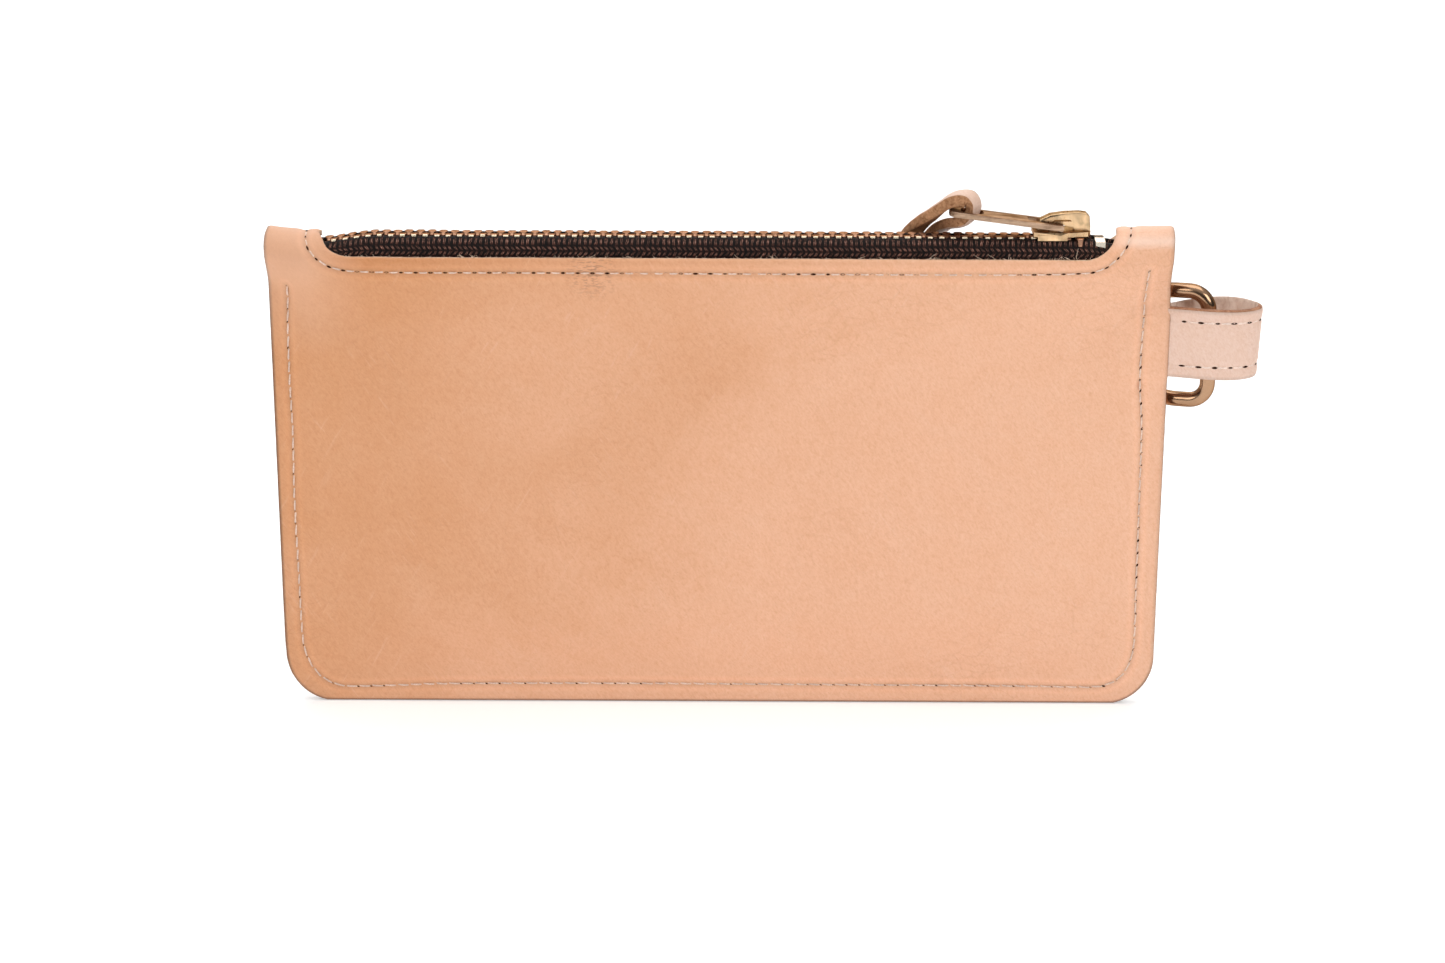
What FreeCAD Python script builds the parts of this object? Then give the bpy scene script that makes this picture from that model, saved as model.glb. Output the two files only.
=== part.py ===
import FreeCAD, Part
import Sketcher
import math
import os
import sys

# Zippered pouch: one leather panel folded over the top, a zipper behind a long window in the fold,
# and a folded side tab that holds a D-ring.
# Frame: X along the zipper (closed end at +X), Y from the front panel to the back panel, Z up.
# The origin is the middle of the bottom edge. Lengths are in millimetres.

V = FreeCAD.Vector
doc = FreeCAD.newDocument("zippered_pouch")

# ---------------------------------------------------------------- driving dimensions
SIZES = [
    ("bodywidth", 206.0, "width over the leather"),
    ("bodyheight", 116.5, "bottom edge to the top of the fold"),
    ("leather", 1.4, "panel leather thickness"),
    ("foldradius", 7.0, "outer radius of the fold along the zipper"),
    ("endfoldradius", 5.5, "outer radius of the fold at the two open ends"),
    ("panelhalf", 4.4, "half the outer thickness at mid height"),
    ("margin", 7.0, "glued and sewn seam margin at the sides"),
    ("bottommargin", 6.0, "glued and sewn seam margin at the bottom"),
    ("cornerradius", 11.5, "bottom corner radius"),
    ("windowleft", -89.9, "left end of the window"),
    ("windowright", 88.7, "right end of the window"),
    ("windowedge", 110.84, "height of the window's long edges"),
    ("windowcorner", 5.5, "plan radius of the window's corners"),
    ("tapethick", 0.4, "zipper tape thickness"),
    ("tapegap", 2.7, "gap between the two tapes at the teeth"),
    ("chainheight", 113.85, "mid height of the zipper chain"),
    ("toothpitch", 2.6, "pitch of the teeth along one side"),
    ("chainwidth", 4.9, "width over the closed teeth"),
    ("chainthick", 2.1, "thickness of the teeth"),
    ("plate", 1.0, "slider plate thickness"),
    ("cavity", 2.6, "space between the slider plates"),
    ("flangelength", 7.6, "length of the slider side flanges"),
    ("sliderleft", 70.8, "tail end of the slider, closed"),
    ("pivotx", 77.0, "pull pivot, along the zipper"),
    ("pivotz", 117.0, "pull pivot height"),
    ("pulllength", 25.4, "pull, from its pivot to its free end"),
    ("pullwidth", 6.2, "pull width"),
    ("pullthick", 1.0, "pull thickness"),
    ("pullrise", 6.3, "angle of the pull above level at rest, degrees"),
    ("crownwidth", 2.6, "width of the crown that carries the pull"),
    ("lacediameter", 3.0, "tube with the lace's section"),
    ("tabwidth", 16.1, "side tab, height of the strap"),
    ("tabbottom", 81.5, "lower edge of the side tab"),
    ("tableather", 1.3, "side tab leather thickness"),
    ("ringwire", 3.5, "D-ring wire diameter"),
    ("ringinner", 22.6, "D-ring inside width"),
    ("ringcorner", 4.45, "D-ring corner radius to the wire's centre"),
    ("ringarm", 7.4, "D-ring bar to the centre of its bow"),
    ("ringx", 112.9, "D-ring bar, along the zipper"),
    ("ringy", 1.5, "D-ring bar, front to back"),
    ("ringz", 87.6, "D-ring centre height"),
    ("ringangle", 160.0, "direction of the ring from its bar, degrees from +X"),
    ("thread", 0.56, "sewing thread diameter"),
]
sheet = doc.addObject("Spreadsheet::Sheet", "dims")
for row, (alias, value, words) in enumerate(SIZES, start=1):
    sheet.set("A%d" % row, alias)
    sheet.set("B%d" % row, str(value))
    sheet.setAlias("B%d" % row, alias)
    sheet.set("C%d" % row, words)
doc.recompute()
d = {alias: float(getattr(sheet, alias)) for alias, _, _ in SIZES}

W2 = d["bodywidth"] / 2
TOP = d["bodyheight"]
T = d["leather"]
NODES = []


def node(obj, name):
    """Names a finished sub-part."""
    obj.Label = name
    NODES.append(obj)
    return obj


def sketch(name, plane, geometry, at=0.0):
    """A sketch on a plane parallel to a main one: 'YZ' (x is Y, y is Z, normal +X), 'XZ' (x is X, y is Z, normal -Y) or 'XY'."""
    sk = doc.addObject("Sketcher::SketchObject", name)
    turn = {
        "XY": FreeCAD.Rotation(0, 0, 0, 1),
        "XZ": FreeCAD.Rotation(V(1, 0, 0), 90),
        "YZ": FreeCAD.Rotation(0.5, 0.5, 0.5, 0.5),
    }[plane]
    off = {"XY": V(0, 0, at), "XZ": V(0, at, 0), "YZ": V(at, 0, 0)}[plane]
    sk.Placement = FreeCAD.Placement(off, turn)
    for g in geometry:
        sk.addGeometry(g, False)
    return sk


def polygon(points):
    pts = [V(p[0], p[1], 0) for p in points]
    return [Part.LineSegment(a, b) for a, b in zip(pts, pts[1:] + pts[:1])]


def extrude(name, profile, direction, length, both=False):
    e = doc.addObject("Part::Extrusion", name)
    e.Base = profile
    e.DirMode = "Custom"
    e.Dir = V(*direction)
    e.Solid = True
    e.Symmetric = both
    if isinstance(length, str):
        e.setExpression("LengthFwd", length)
    else:
        e.LengthFwd = length
    return e


def loft(name, sections):
    lo = doc.addObject("Part::Loft", name)
    lo.Sections = sections
    lo.Solid = True
    lo.Ruled = True
    return lo


def fuse(name, shapes):
    f = doc.addObject("Part::MultiFuse", name)
    f.Shapes = shapes
    return f


def cut(name, base, tool):
    c = doc.addObject("Part::Cut", name)
    c.Base = base
    c.Tool = tool
    return c


# ---------------------------------------------------------------- leather body
# One section of the folded panel at distance x from the middle: (half thickness of the flat part, height where the
# flat part starts to open into the fold, fold radius, height of the fold's centre).
def station(x):
    x = abs(x)
    mid = (d["panelhalf"], 80.0, d["foldradius"], TOP - d["foldradius"])
    sewn = (T + 0.3, 95.0, d["foldradius"] - 0.4, TOP - d["foldradius"] + 0.4)
    end = (T, 102.0, d["endfoldradius"], TOP - 0.1 - d["endfoldradius"])
    marks = [(0.0, mid), (70.0, mid), (W2 - d["margin"], sewn), (W2, end)]
    for (x0, a), (x1, b) in zip(marks, marks[1:]):
        if x <= x1 + 1e-9:
            k = (x - x0) / (x1 - x0)
            return [p + (q - p) * k for p, q in zip(a, b)]
    return list(end)


def outer_profile(x):
    half, z3, r, zc = station(x)
    left = [(-T, 0.0), (-T, d["bottommargin"]), (-half, 20.0), (-half, z3), (-r, zc)]
    right = [(-y, z) for y, z in reversed(left)]
    g = [Part.LineSegment(V(a[0], a[1], 0), V(b[0], b[1], 0)) for a, b in zip(left, left[1:])]
    g.append(Part.ArcOfCircle(Part.Circle(V(0, zc, 0), V(0, 0, 1), r), 0, math.pi))
    g += [Part.LineSegment(V(a[0], a[1], 0), V(b[0], b[1], 0)) for a, b in zip(right, right[1:])]
    g.append(Part.LineSegment(V(T, 0, 0), V(-T, 0, 0)))
    return g


def inner_profile(x):
    half, z3, r, zc = station(x)
    half, r = half - T, r - T
    left = [(-0.2, d["bottommargin"] + 0.2), (-half, 20.0), (-half, z3), (-r, zc)]
    right = [(-y, z) for y, z in reversed(left)]
    g = [Part.LineSegment(V(a[0], a[1], 0), V(b[0], b[1], 0)) for a, b in zip(left, left[1:])]
    g.append(Part.ArcOfCircle(Part.Circle(V(0, zc, 0), V(0, 0, 1), r), 0, math.pi))
    g += [Part.LineSegment(V(a[0], a[1], 0), V(b[0], b[1], 0)) for a, b in zip(right, right[1:])]
    g.append(Part.LineSegment(V(0.2, right[-1][1], 0), V(-0.2, left[0][1], 0)))
    return g


def end_profile(x):
    half, z3, r, zc = station(x)
    r = r - T
    low = 103.4
    g = [Part.LineSegment(V(-0.3, low, 0), V(-r, zc, 0)),
         Part.ArcOfCircle(Part.Circle(V(0, zc, 0), V(0, 0, 1), r), 0, math.pi),
         Part.LineSegment(V(r, zc, 0), V(0.3, low, 0)),
         Part.LineSegment(V(0.3, low, 0), V(-0.3, low, 0))]
    return g


sewn_x = W2 - d["margin"]
outer = loft("fold_outer", [sketch("outer_%d" % i, "YZ", outer_profile(x), x)
                            for i, x in enumerate((-W2, -sewn_x, -70.0, 70.0, sewn_x, W2))])
hollow = loft("fold_hollow", [sketch("hollow_%d" % i, "YZ", inner_profile(x), x)
                              for i, x in enumerate((-sewn_x, -70.0, 70.0, sewn_x))])
mouths = [loft("open_end_%d" % i, [sketch("open_%d_%d" % (i, k), "YZ", end_profile(x), x) for k, x in enumerate(pair)])
          for i, pair in enumerate([(-W2 - 0.5, -sewn_x + 0.4), (sewn_x - 0.4, W2 + 0.5)])]

# window in the fold, with rounded corners in plan
wl, wr, wc, wy = d["windowleft"], d["windowright"], d["windowcorner"], d["foldradius"] + 0.3


def rounded_rectangle(x0, y0, x1, y1, r):
    g = [Part.LineSegment(V(x0 + r, y0, 0), V(x1 - r, y0, 0)), Part.LineSegment(V(x1, y0 + r, 0), V(x1, y1 - r, 0)),
         Part.LineSegment(V(x1 - r, y1, 0), V(x0 + r, y1, 0)), Part.LineSegment(V(x0, y1 - r, 0), V(x0, y0 + r, 0))]
    for cx, cy, a in ((x0 + r, y0 + r, 180), (x1 - r, y0 + r, 270), (x1 - r, y1 - r, 0), (x0 + r, y1 - r, 90)):
        g.append(Part.ArcOfCircle(Part.Circle(V(cx, cy, 0), V(0, 0, 1), r), math.radians(a), math.radians(a + 90)))
    return g


window_sk = sketch("window_outline", "XY", rounded_rectangle(wl, -wy, wr, wy, wc), d["windowedge"])
window = extrude("window", window_sk, (0, 0, 1), 12.0)

# bottom corners
corners = []
cr = d["cornerradius"]
for side in (-1, 1):
    x0, x1 = side * (W2 + 1), side * (W2 - cr)
    arc = Part.ArcOfCircle(Part.Circle(V(side * (W2 - cr), cr, 0), V(0, 0, 1), cr),
                           math.pi if side < 0 else 1.5 * math.pi, 1.5 * math.pi if side < 0 else 2 * math.pi)
    g = [arc,
         Part.LineSegment(V(x1, 0, 0), V(x1, -1, 0)), Part.LineSegment(V(x1, -1, 0), V(x0, -1, 0)),
         Part.LineSegment(V(x0, -1, 0), V(x0, cr, 0)), Part.LineSegment(V(x0, cr, 0), V(side * W2, cr, 0))]
    corners.append(extrude("corner_%s" % ("left" if side < 0 else "right"), sketch("corner_sk_%d" % side, "XZ", g), (0, 1, 0), 12.0, True))

# the side tab's outline in plan: a strap sewn in at the seam, opened into a loop
tt = d["tableather"]
root_x, part_x, edge_x = 91.0, 98.5, 103.2
edge_y = 2.4
outer_pts = [(edge_x, -edge_y), (106.0, -3.7), (110.0, -5.3), (114.0, -6.0), (118.0, -5.8), (121.6, -4.5), (124.1, -2.0),
             (124.9, 1.0), (124.2, 4.2), (121.9, 6.7), (118.3, 7.9), (114.4, 7.8), (110.0, 6.5), (106.0, 4.2), (edge_x, edge_y)]


def spline(points):
    c = Part.BSplineCurve()
    c.interpolate([V(p[0], p[1], 0) for p in points])
    return c


outer_curve = spline(outer_pts)
inner_pts = []
a0, a1 = outer_curve.FirstParameter, outer_curve.LastParameter
for i in range(33):
    u = a0 + (a1 - a0) * i / 32.0
    p = outer_curve.value(u)
    t = outer_curve.tangent(u)[0]
    inner_pts.append((p.x - t.y * tt, p.y + t.x * tt))
inner_curve = spline(inner_pts)
tab_outline = [outer_curve,
               Part.LineSegment(V(edge_x, edge_y, 0), V(part_x, tt, 0)), Part.LineSegment(V(part_x, tt, 0), V(root_x, tt, 0)),
               Part.LineSegment(V(root_x, tt, 0), V(root_x, -tt, 0)), Part.LineSegment(V(root_x, -tt, 0), V(part_x, -tt, 0)),
               Part.LineSegment(V(part_x, -tt, 0), V(edge_x, -edge_y, 0)),
               inner_curve,
               Part.LineSegment(V(inner_pts[-1][0], inner_pts[-1][1], 0), V(part_x + 0.5, 0, 0)),
               Part.LineSegment(V(part_x + 0.5, 0, 0), V(inner_pts[0][0], inner_pts[0][1], 0))]
tab_sk = sketch("tab_outline", "XY", tab_outline, d["tabbottom"])
side_tab = node(extrude("side_tab_strap", tab_sk, (0, 0, 1), "dims.tabwidth"), "side_tab")

# the plies swell over the tab's root: a low pad with chamfered ends, and the slot that the root fills
pad_out = [(root_x - 2.5, -1.2), (root_x - 0.5, -tt - 1.1), (part_x, -tt - 1.25), (W2, -edge_y - 1.25),
           (W2, edge_y + 1.25), (part_x, tt + 1.25), (root_x - 0.5, tt + 1.1), (root_x - 2.5, 1.2)]
pad_low, pad_high = d["tabbottom"] - 1.6, d["tabbottom"] + d["tabwidth"] + 1.2
pad_mid = extrude("swell_middle", sketch("swell_sk", "XY", polygon(pad_out), pad_low + 1.3), (0, 0, 1), pad_high - pad_low - 2.6)
pad_in = [(x, y * 0.42) for x, y in pad_out]
pads = [pad_mid]
for i, (za, zb) in enumerate([(pad_low + 1.3, pad_low), (pad_high - 1.3, pad_high)]):
    pads.append(loft("swell_end_%d" % i, [sketch("swell_a%d" % i, "XY", polygon(pad_out), za), sketch("swell_b%d" % i, "XY", polygon(pad_in), zb)]))
slot_pts = [(root_x, -tt), (part_x, -tt), (edge_x, -edge_y), (edge_x + 1, -edge_y - 0.3), (edge_x + 1, edge_y + 0.3),
            (edge_x, edge_y), (part_x, tt), (root_x, tt)]
slot = extrude("tab_slot", sketch("slot_sk", "XY", polygon(slot_pts), d["tabbottom"]), (0, 0, 1), "dims.tabwidth")

shell = cut("fold_shell", outer, fuse("fold_openings", [hollow, window] + mouths + corners))
padded = fuse("fold_with_swell", [shell] + pads)
leather_body = node(cut("leather_body_cut", padded, slot), "leather_body")

# ---------------------------------------------------------------- zipper tapes
gap2, th, zc0 = d["tapegap"] / 2, d["tapethick"] / 2, d["chainheight"]
tape_line = [(-gap2, zc0), (-3.6, zc0 - 0.1), (-5.0, 111.2), (-5.27, 109.3), (-4.55, 104.6)]


def band(points, half):
    """Closed outline of a strip of constant thickness along a line of points."""
    out, back = [], []
    for i, (x, y) in enumerate(points):
        a = points[max(i - 1, 0)]
        b = points[min(i + 1, len(points) - 1)]
        n1 = V(-(y - a[1]), x - a[0], 0) if i else V(-(b[1] - y), b[0] - x, 0)
        n2 = V(-(b[1] - y), b[0] - x, 0) if i < len(points) - 1 else n1
        n1.normalize()
        n2.normalize()
        m = n1.add(n2)
        m.normalize()
        k = half / max(0.3, m.dot(n1))
        out.append((x + m.x * k, y + m.y * k))
        back.append((x - m.x * k, y - m.y * k))
    return out + back[::-1]


tape_from, tape_to = -94.5, 94.5
tapes = {}
raw_tapes = {}
for side, sign in (("front", 1), ("rear", -1)):
    outline = band([(sign * y, z) for y, z in tape_line], th)
    strip = extrude("tape_strip_" + side, sketch("tape_sk_" + side, "YZ", polygon(outline), tape_from), (1, 0, 0), tape_to - tape_from)
    raw_tapes[side] = strip
    common = doc.addObject("Part::MultiCommon", "tape_" + side)
    common.Shapes = [strip, hollow]
    tapes[side] = node(common, "zipper_tape_" + side)
doc.recompute()

# ---------------------------------------------------------------- teeth and stops
chain2, top2 = d["chainwidth"] / 2, d["chainthick"] / 2
pitch = d["toothpitch"]


def spread(x):
    """How far the two rows have parted at x, next to the slider's wedge."""
    k = min(1.0, max(0.0, (x - 77.6) / 3.4))
    return 1.78 * k * k * (3 - 2 * k)


def block(points, z0, z1):
    w = Part.makePolygon([V(x, y, z0) for x, y in points + points[:1]])
    return Part.Face(w).extrude(V(0, 0, z1 - z0))


def tooth(x, sign, shift):
    """One tooth: two legs that clamp the tape's edge and a narrower head that reaches past the centre line."""
    pts = [(x - 0.62, -chain2), (x + 0.62, -chain2), (x + 0.62, -0.75), (x + 0.52, 0.35), (x + 0.36, 0.5), (x - 0.36, 0.5),
           (x - 0.52, 0.35), (x - 0.62, -0.75)]
    pts = [(px, sign * (py - shift)) for px, py in pts]
    s = block(pts, zc0 - top2, zc0 + top2)
    return s


teeth = {}
for side, sign, first in (("front", 1, -86.9), ("rear", -1, -85.6)):
    tool = raw_tapes[side].Shape
    made = []
    for k in range(66 if side == "front" else 65):
        x = first + pitch * k
        if x > 83.3:
            break
        made.append(tooth(x, sign, spread(x)).cut(tool))
    row = doc.addObject("Part::Feature", "teeth_row_" + side)
    solids = []
    for m in made:
        big = max(m.Solids, key=lambda q: q.Volume)
        solids.append(big)
    row.Shape = Part.makeCompound(solids)
    teeth[side] = node(row, "teeth_" + side)

for side, sign in (("front", 1), ("rear", -1)):
    s = block([(85.25, -4.1 * sign), (87.45, -4.1 * sign), (87.45, -1.0 * sign), (85.25, -1.0 * sign)], zc0 - 1.2, zc0 + 1.2).cut(raw_tapes[side].Shape)
    f = doc.addObject("Part::Feature", "stop_" + side)
    f.Shape = max(s.Solids, key=lambda q: q.Volume)
    node(f, "top_stop_" + side)
s = block([(-90.9, -2.7), (-88.7, -2.7), (-88.7, 2.7), (-90.9, 2.7)], zc0 - 1.2, zc0 + 0.3)
s = s.cut(raw_tapes["front"].Shape).cut(raw_tapes["rear"].Shape)
f = doc.addObject("Part::Feature", "stop_bottom")
f.Shape = max(s.Solids, key=lambda q: q.Volume)
node(f, "bottom_stop")

# ---------------------------------------------------------------- slider
sl = d["sliderleft"]
upper_plan = [(sl, -3.1), (sl + 1.2, -3.55), (sl + 7.6, -3.75), (sl + 10.9, -4.55), (sl + 12.3, -4.0), (sl + 13.0, -1.6),
              (sl + 13.0, 1.6), (sl + 12.3, 4.0), (sl + 10.9, 4.55), (sl + 7.6, 3.75), (sl + 1.2, 3.55), (sl, 3.1)]
lower_plan = [(x, max(-3.55, min(3.55, y))) for x, y in upper_plan]
half_cavity = d["cavity"] / 2
zu = zc0 + half_cavity - 0.05
zl = zc0 - half_cavity - 0.05
upper = extrude("slider_upper_plate", sketch("upper_sk", "XY", polygon(upper_plan), zu), (0, 0, 1), "dims.plate")
lower = extrude("slider_lower_plate", sketch("lower_sk", "XY", polygon(lower_plan), zl - d["plate"]), (0, 0, 1), "dims.plate")
wedge_sk = sketch("wedge_sk", "XY", polygon([(sl + 9.7, -0.1), (sl + 10.8, -0.9), (sl + 12.7, -0.9), (sl + 12.7, 0.9),
                                             (sl + 10.8, 0.9), (sl + 9.7, 0.1)]), zl - 0.4)
wedge = extrude("slider_wedge", wedge_sk, (0, 0, 1), zu - zl + 0.8)
flanges = []
for nm, y0, z0, high in (("uf", -3.7, zu - 0.8, 1.2), ("ur", 3.05, zu - 0.8, 1.2), ("lf", -3.55, zl - 0.4, 1.1), ("lr", 2.95, zl - 0.4, 1.1)):
    b = doc.addObject("Part::Box", "flange_" + nm)
    b.setExpression("Length", "dims.flangelength - 0.9")
    b.Width = 0.65 if nm[0] == "u" else 0.6
    b.Height = high
    b.Placement.Base = V(sl + 0.9, y0, z0)
    flanges.append(b)
slider_whole = fuse("slider_castings", [upper, lower, wedge] + flanges)
pin_hole = doc.addObject("Part::Box", "lock_hole")
pin_hole.Length, pin_hole.Width, pin_hole.Height = 1.1, 2.1, 4.0
pin_hole.Placement.Base = V(74.65, -1.05, zu - 0.1)
slider_body = node(cut("slider_cut", slider_whole, pin_hole), "slider_body")

zp = zu + d["plate"]
crown_outer = [(sl + 0.9, zp), (sl + 0.8, zp + 1.3), (sl + 1.5, zp + 2.3), (sl + 3.8, zp + 3.3), (sl + 7.0, zp + 3.75), (sl + 10.2, zp + 3.9),
               (sl + 11.9, zp + 3.7), (sl + 12.7, zp + 2.9), (sl + 12.9, zp + 1.2), (sl + 12.9, zp)]
crown_in = [(sl + 3.75, zp + 0.35), (sl + 3.75, zp + 1.7), (sl + 4.7, zp + 2.55), (sl + 8.0, zp + 2.85), (sl + 9.4, zp + 2.7), (sl + 9.4, zp + 0.35)]
crown_solid = extrude("crown_block", sketch("crown_sk", "XZ", polygon(crown_outer)), (0, 1, 0), "dims.crownwidth", True)
crown_void = extrude("crown_opening", sketch("crown_in_sk", "XZ", polygon([(x, zp - 0.5 if abs(z - zp - 0.35) < 1e-6 else z) for x, z in crown_in])),
                     (0, 1, 0), 6.0, True)
crown_cut = cut("crown_cut", crown_solid, crown_void)
doc.recompute()
crown = doc.addObject("Part::Fillet", "crown_fillet")
crown.Base = crown_cut
picked = []
for i, e in enumerate(crown_cut.Shape.Edges, start=1):
    b = e.BoundBox
    if abs(abs(b.YMin) - d["crownwidth"] / 2) < 1e-6 and abs(b.YMax - b.YMin) < 1e-6 and b.ZMin > zp + 1.0 \
            and (b.ZMax > zp + 2.95 or b.XMin < sl + 1.6 and b.XMax < sl + 1.6 or b.XMax > sl + 12.6):
        picked.append((i, 0.3, 0.3))
crown.Edges = picked
node(crown, "slider_crown")

# locking strip under the crown, its tip down through the upper plate
strip = [(80.1, 118.0), (75.75, 118.0), (75.22, 117.5), (75.22, zc0 + top2 + 0.25)]
lock = node(extrude("lock_strip", sketch("lock_sk", "XZ", polygon(band(strip, 0.17))), (0, 1, 0), 1.5, True), "lock_spring")

# ---------------------------------------------------------------- pull
pl, pw, pt = d["pulllength"], d["pullwidth"], d["pullthick"]


def pull_geometry():
    g = []
    r = 2.0
    h = pw / 2
    g += [Part.LineSegment(V(0.45, -h, 0), V(-pl + r, -h, 0)), Part.LineSegment(V(-pl, -h + r, 0), V(-pl, h - r, 0)),
          Part.LineSegment(V(-pl + r, h, 0), V(0.45, h, 0)), Part.LineSegment(V(0.45, h, 0), V(0.45, -h, 0)),
          Part.ArcOfCircle(Part.Circle(V(-pl + r, -h + r, 0), V(0, 0, 1), r), math.pi, 1.5 * math.pi),
          Part.ArcOfCircle(Part.Circle(V(-pl + r, h - r, 0), V(0, 0, 1), r), 0.5 * math.pi, math.pi)]
    return g


pull_plate = extrude("pull_plate", sketch("pull_sk", "XY", pull_geometry(), 0), (0, 0, 1), "dims.pullthick", True)
crown_hole = extrude("pull_crown_hole", sketch("pull_hole_sk", "XY", rounded_rectangle(-7.5, -1.75, -0.45, 1.75, 0.35), 0), (0, 0, 1), 4.0, True)
lace_hole = extrude("pull_lace_hole", sketch("lace_hole_sk", "XY", rounded_rectangle(-22.9, -2.4, -17.7, 2.4, 1.7), 0), (0, 0, 1), 4.0, True)
cross = doc.addObject("Part::Cylinder", "pull_crossbar")
cross.Radius = 0.6
cross.setExpression("Height", "dims.pullwidth")
cross.Placement = FreeCAD.Placement(V(0, pw / 2, 0), FreeCAD.Rotation(V(1, 0, 0), 90))
pull_body = fuse("pull_whole", [cut("pull_pierced", pull_plate, fuse("pull_holes", [crown_hole, lace_hole])), cross])
pull_body.Placement = FreeCAD.Placement(V(d["pivotx"], 0, d["pivotz"]), FreeCAD.Rotation(V(0, 1, 0), d["pullrise"]))
node(pull_body, "pull_tab")

# ---------------------------------------------------------------- lace: a free cord through the pull's hole
LACE = [(44.2, 10.5, 97.0), (45.2, 10.5, 102.0), (46.7, 10.3, 107.2), (48.5, 8.9, 112.2), (51.4, 5.0, 116.2), (55.2, 1.0, 117.2),
        (58.5, 0.0, 120.4), (57.0, 0.0, 124.35), (52.5, 0.5, 124.2), (48.9, 2.2, 119.9), (45.6, 5.6, 116.3), (42.6, 9.4, 111.4),
        (40.4, 10.5, 104.0), (39.3, 10.3, 94.6), (39.9, 9.9, 85.4), (41.6, 9.5, 77.5)]


def cord_path(points, report):
    """Straight runs joined by tangent arcs: each arc's radius is 0.45 of its shorter run over the tangent of half the turn."""
    pts = [V(*p) for p in points]
    edges, at, radii = [], pts[0], []
    for i in range(1, len(pts) - 1):
        a, b = pts[i].sub(pts[i - 1]), pts[i + 1].sub(pts[i])
        la, lb = a.Length, b.Length
        turn = a.getAngle(b)
        reach = 0.45 * min(la, lb)
        radii.append(reach / math.tan(turn / 2))
        a.normalize()
        b.normalize()
        start, end = pts[i].sub(a * reach), pts[i].add(b * reach)
        bis = b.sub(a)
        bis.normalize()
        mid = pts[i].add(bis * (radii[-1] / math.cos(turn / 2) - radii[-1]))
        edges.append(Part.LineSegment(at, start).toShape())
        edges.append(Part.Arc(start, mid, end).toShape())
        at = end
    edges.append(Part.LineSegment(at, pts[-1]).toShape())
    w = Part.Wire(edges)
    print("%s: length %.1f, radii %s" % (report, w.Length, [round(r, 1) for r in radii]))
    return w, pts[1].sub(pts[0])


path, heading = cord_path(LACE, "pull_lace")
section = Part.Wire(Part.Circle(V(*LACE[0]), heading, d["lacediameter"] / 2).toShape())
lace_feature = doc.addObject("Part::Feature", "lace_tube")
lace_feature.Shape = path.makePipeShell([section], True, False)
want = math.pi * (d["lacediameter"] / 2) ** 2 * path.Length
print("pull_lace volume %.2f, section times length %.2f" % (lace_feature.Shape.Volume, want))
node(lace_feature, "pull_lace")

# ---------------------------------------------------------------- D-ring
rh = d["ringinner"] / 2 + d["ringwire"] / 2
rc, ra = d["ringcorner"], d["ringarm"]


def arc3(cx, cz, r, a, b):
    m = (a + b) / 2
    pts = [V(cx + r * math.cos(math.radians(t)), 0, cz + r * math.sin(math.radians(t))) for t in (a, m, b)]
    return Part.Arc(*pts).toShape()


def seg(a, b):
    return Part.LineSegment(V(a[0], 0, a[1]), V(b[0], 0, b[1])).toShape()


ring_edges = [seg((0, -rh + rc), (0, rh - rc)), arc3(rc, rh - rc, rc, 180, 90), seg((rc, rh), (ra, rh)),
              arc3(ra, 0, rh, 90, -90), seg((ra, -rh), (rc, -rh)), arc3(rc, -rh + rc, rc, 270, 180)]
ring_wire = Part.Wire(ring_edges)
ring_section = Part.Wire(Part.Circle(V(0, 0, -rh + rc), V(0, 0, 1), d["ringwire"] / 2).toShape())
ring = doc.addObject("Part::Feature", "d_ring_wire")
ring.Shape = ring_wire.makePipeShell([ring_section], True, False)
ring.Placement = FreeCAD.Placement(V(d["ringx"], d["ringy"], d["ringz"]), FreeCAD.Rotation(V(0, 0, 1), d["ringangle"]))
print("d_ring volume %.1f, section times length %.1f" % (ring.Shape.Volume, math.pi * (d["ringwire"] / 2) ** 2 * ring_wire.Length))
node(ring, "d_ring")

# ---------------------------------------------------------------- sewing threads, as rows of single stitches
thr = d["thread"] / 2


def skin(x, s):
    """Point on the outer leather at arc length s from the top of the fold, negative at the front, and its outward normal."""
    half, z3, r, zc = station(x)
    quarter = r * math.pi / 2
    side = -1 if s < 0 else 1
    s = abs(s)
    if s <= quarter:
        a = s / r
        return V(x, side * r * math.sin(a), zc + r * math.cos(a)), V(0, side * math.sin(a), math.cos(a))
    line = [(r, zc), (half, z3), (half, 20.0), (T, d["bottommargin"]), (T, 0.0)]
    s -= quarter
    for a, b in zip(line, line[1:]):
        step = math.hypot(b[0] - a[0], b[1] - a[1])
        if s <= step or b == line[-1]:
            k = s / step
            y, z = a[0] + (b[0] - a[0]) * k, a[1] + (b[1] - a[1]) * k
            n = V(0, side * (a[1] - b[1]), b[0] - a[0])
            n = V(0, side * abs(n.y), (b[0] - a[0]) * -1 if b[0] > a[0] else 0)
            n.normalize()
            return V(x, side * y, z), n
        s -= step


def skin_z(x, z, side):
    """Point on the flat panel at height z, and its outward normal."""
    half, z3, r, zc = station(x)
    line = [(r, zc), (half, z3), (half, 20.0), (T, d["bottommargin"]), (T, 0.0)]
    for a, b in zip(line, line[1:]):
        if b[1] <= z <= a[1]:
            k = (a[1] - z) / (a[1] - b[1])
            return V(x, side * (a[0] + (b[0] - a[0]) * k), z), V(0, side, 0)
    return V(x, side * r, z), V(0, side, 0)


def stitch(p, q, n):
    """A stitch from p to q, a short round bar half sunk into the leather."""
    axis = q.sub(p)
    up = n * (thr * 0.55)
    return Part.makeCylinder(thr, axis.Length, p.add(up), axis)


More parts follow.
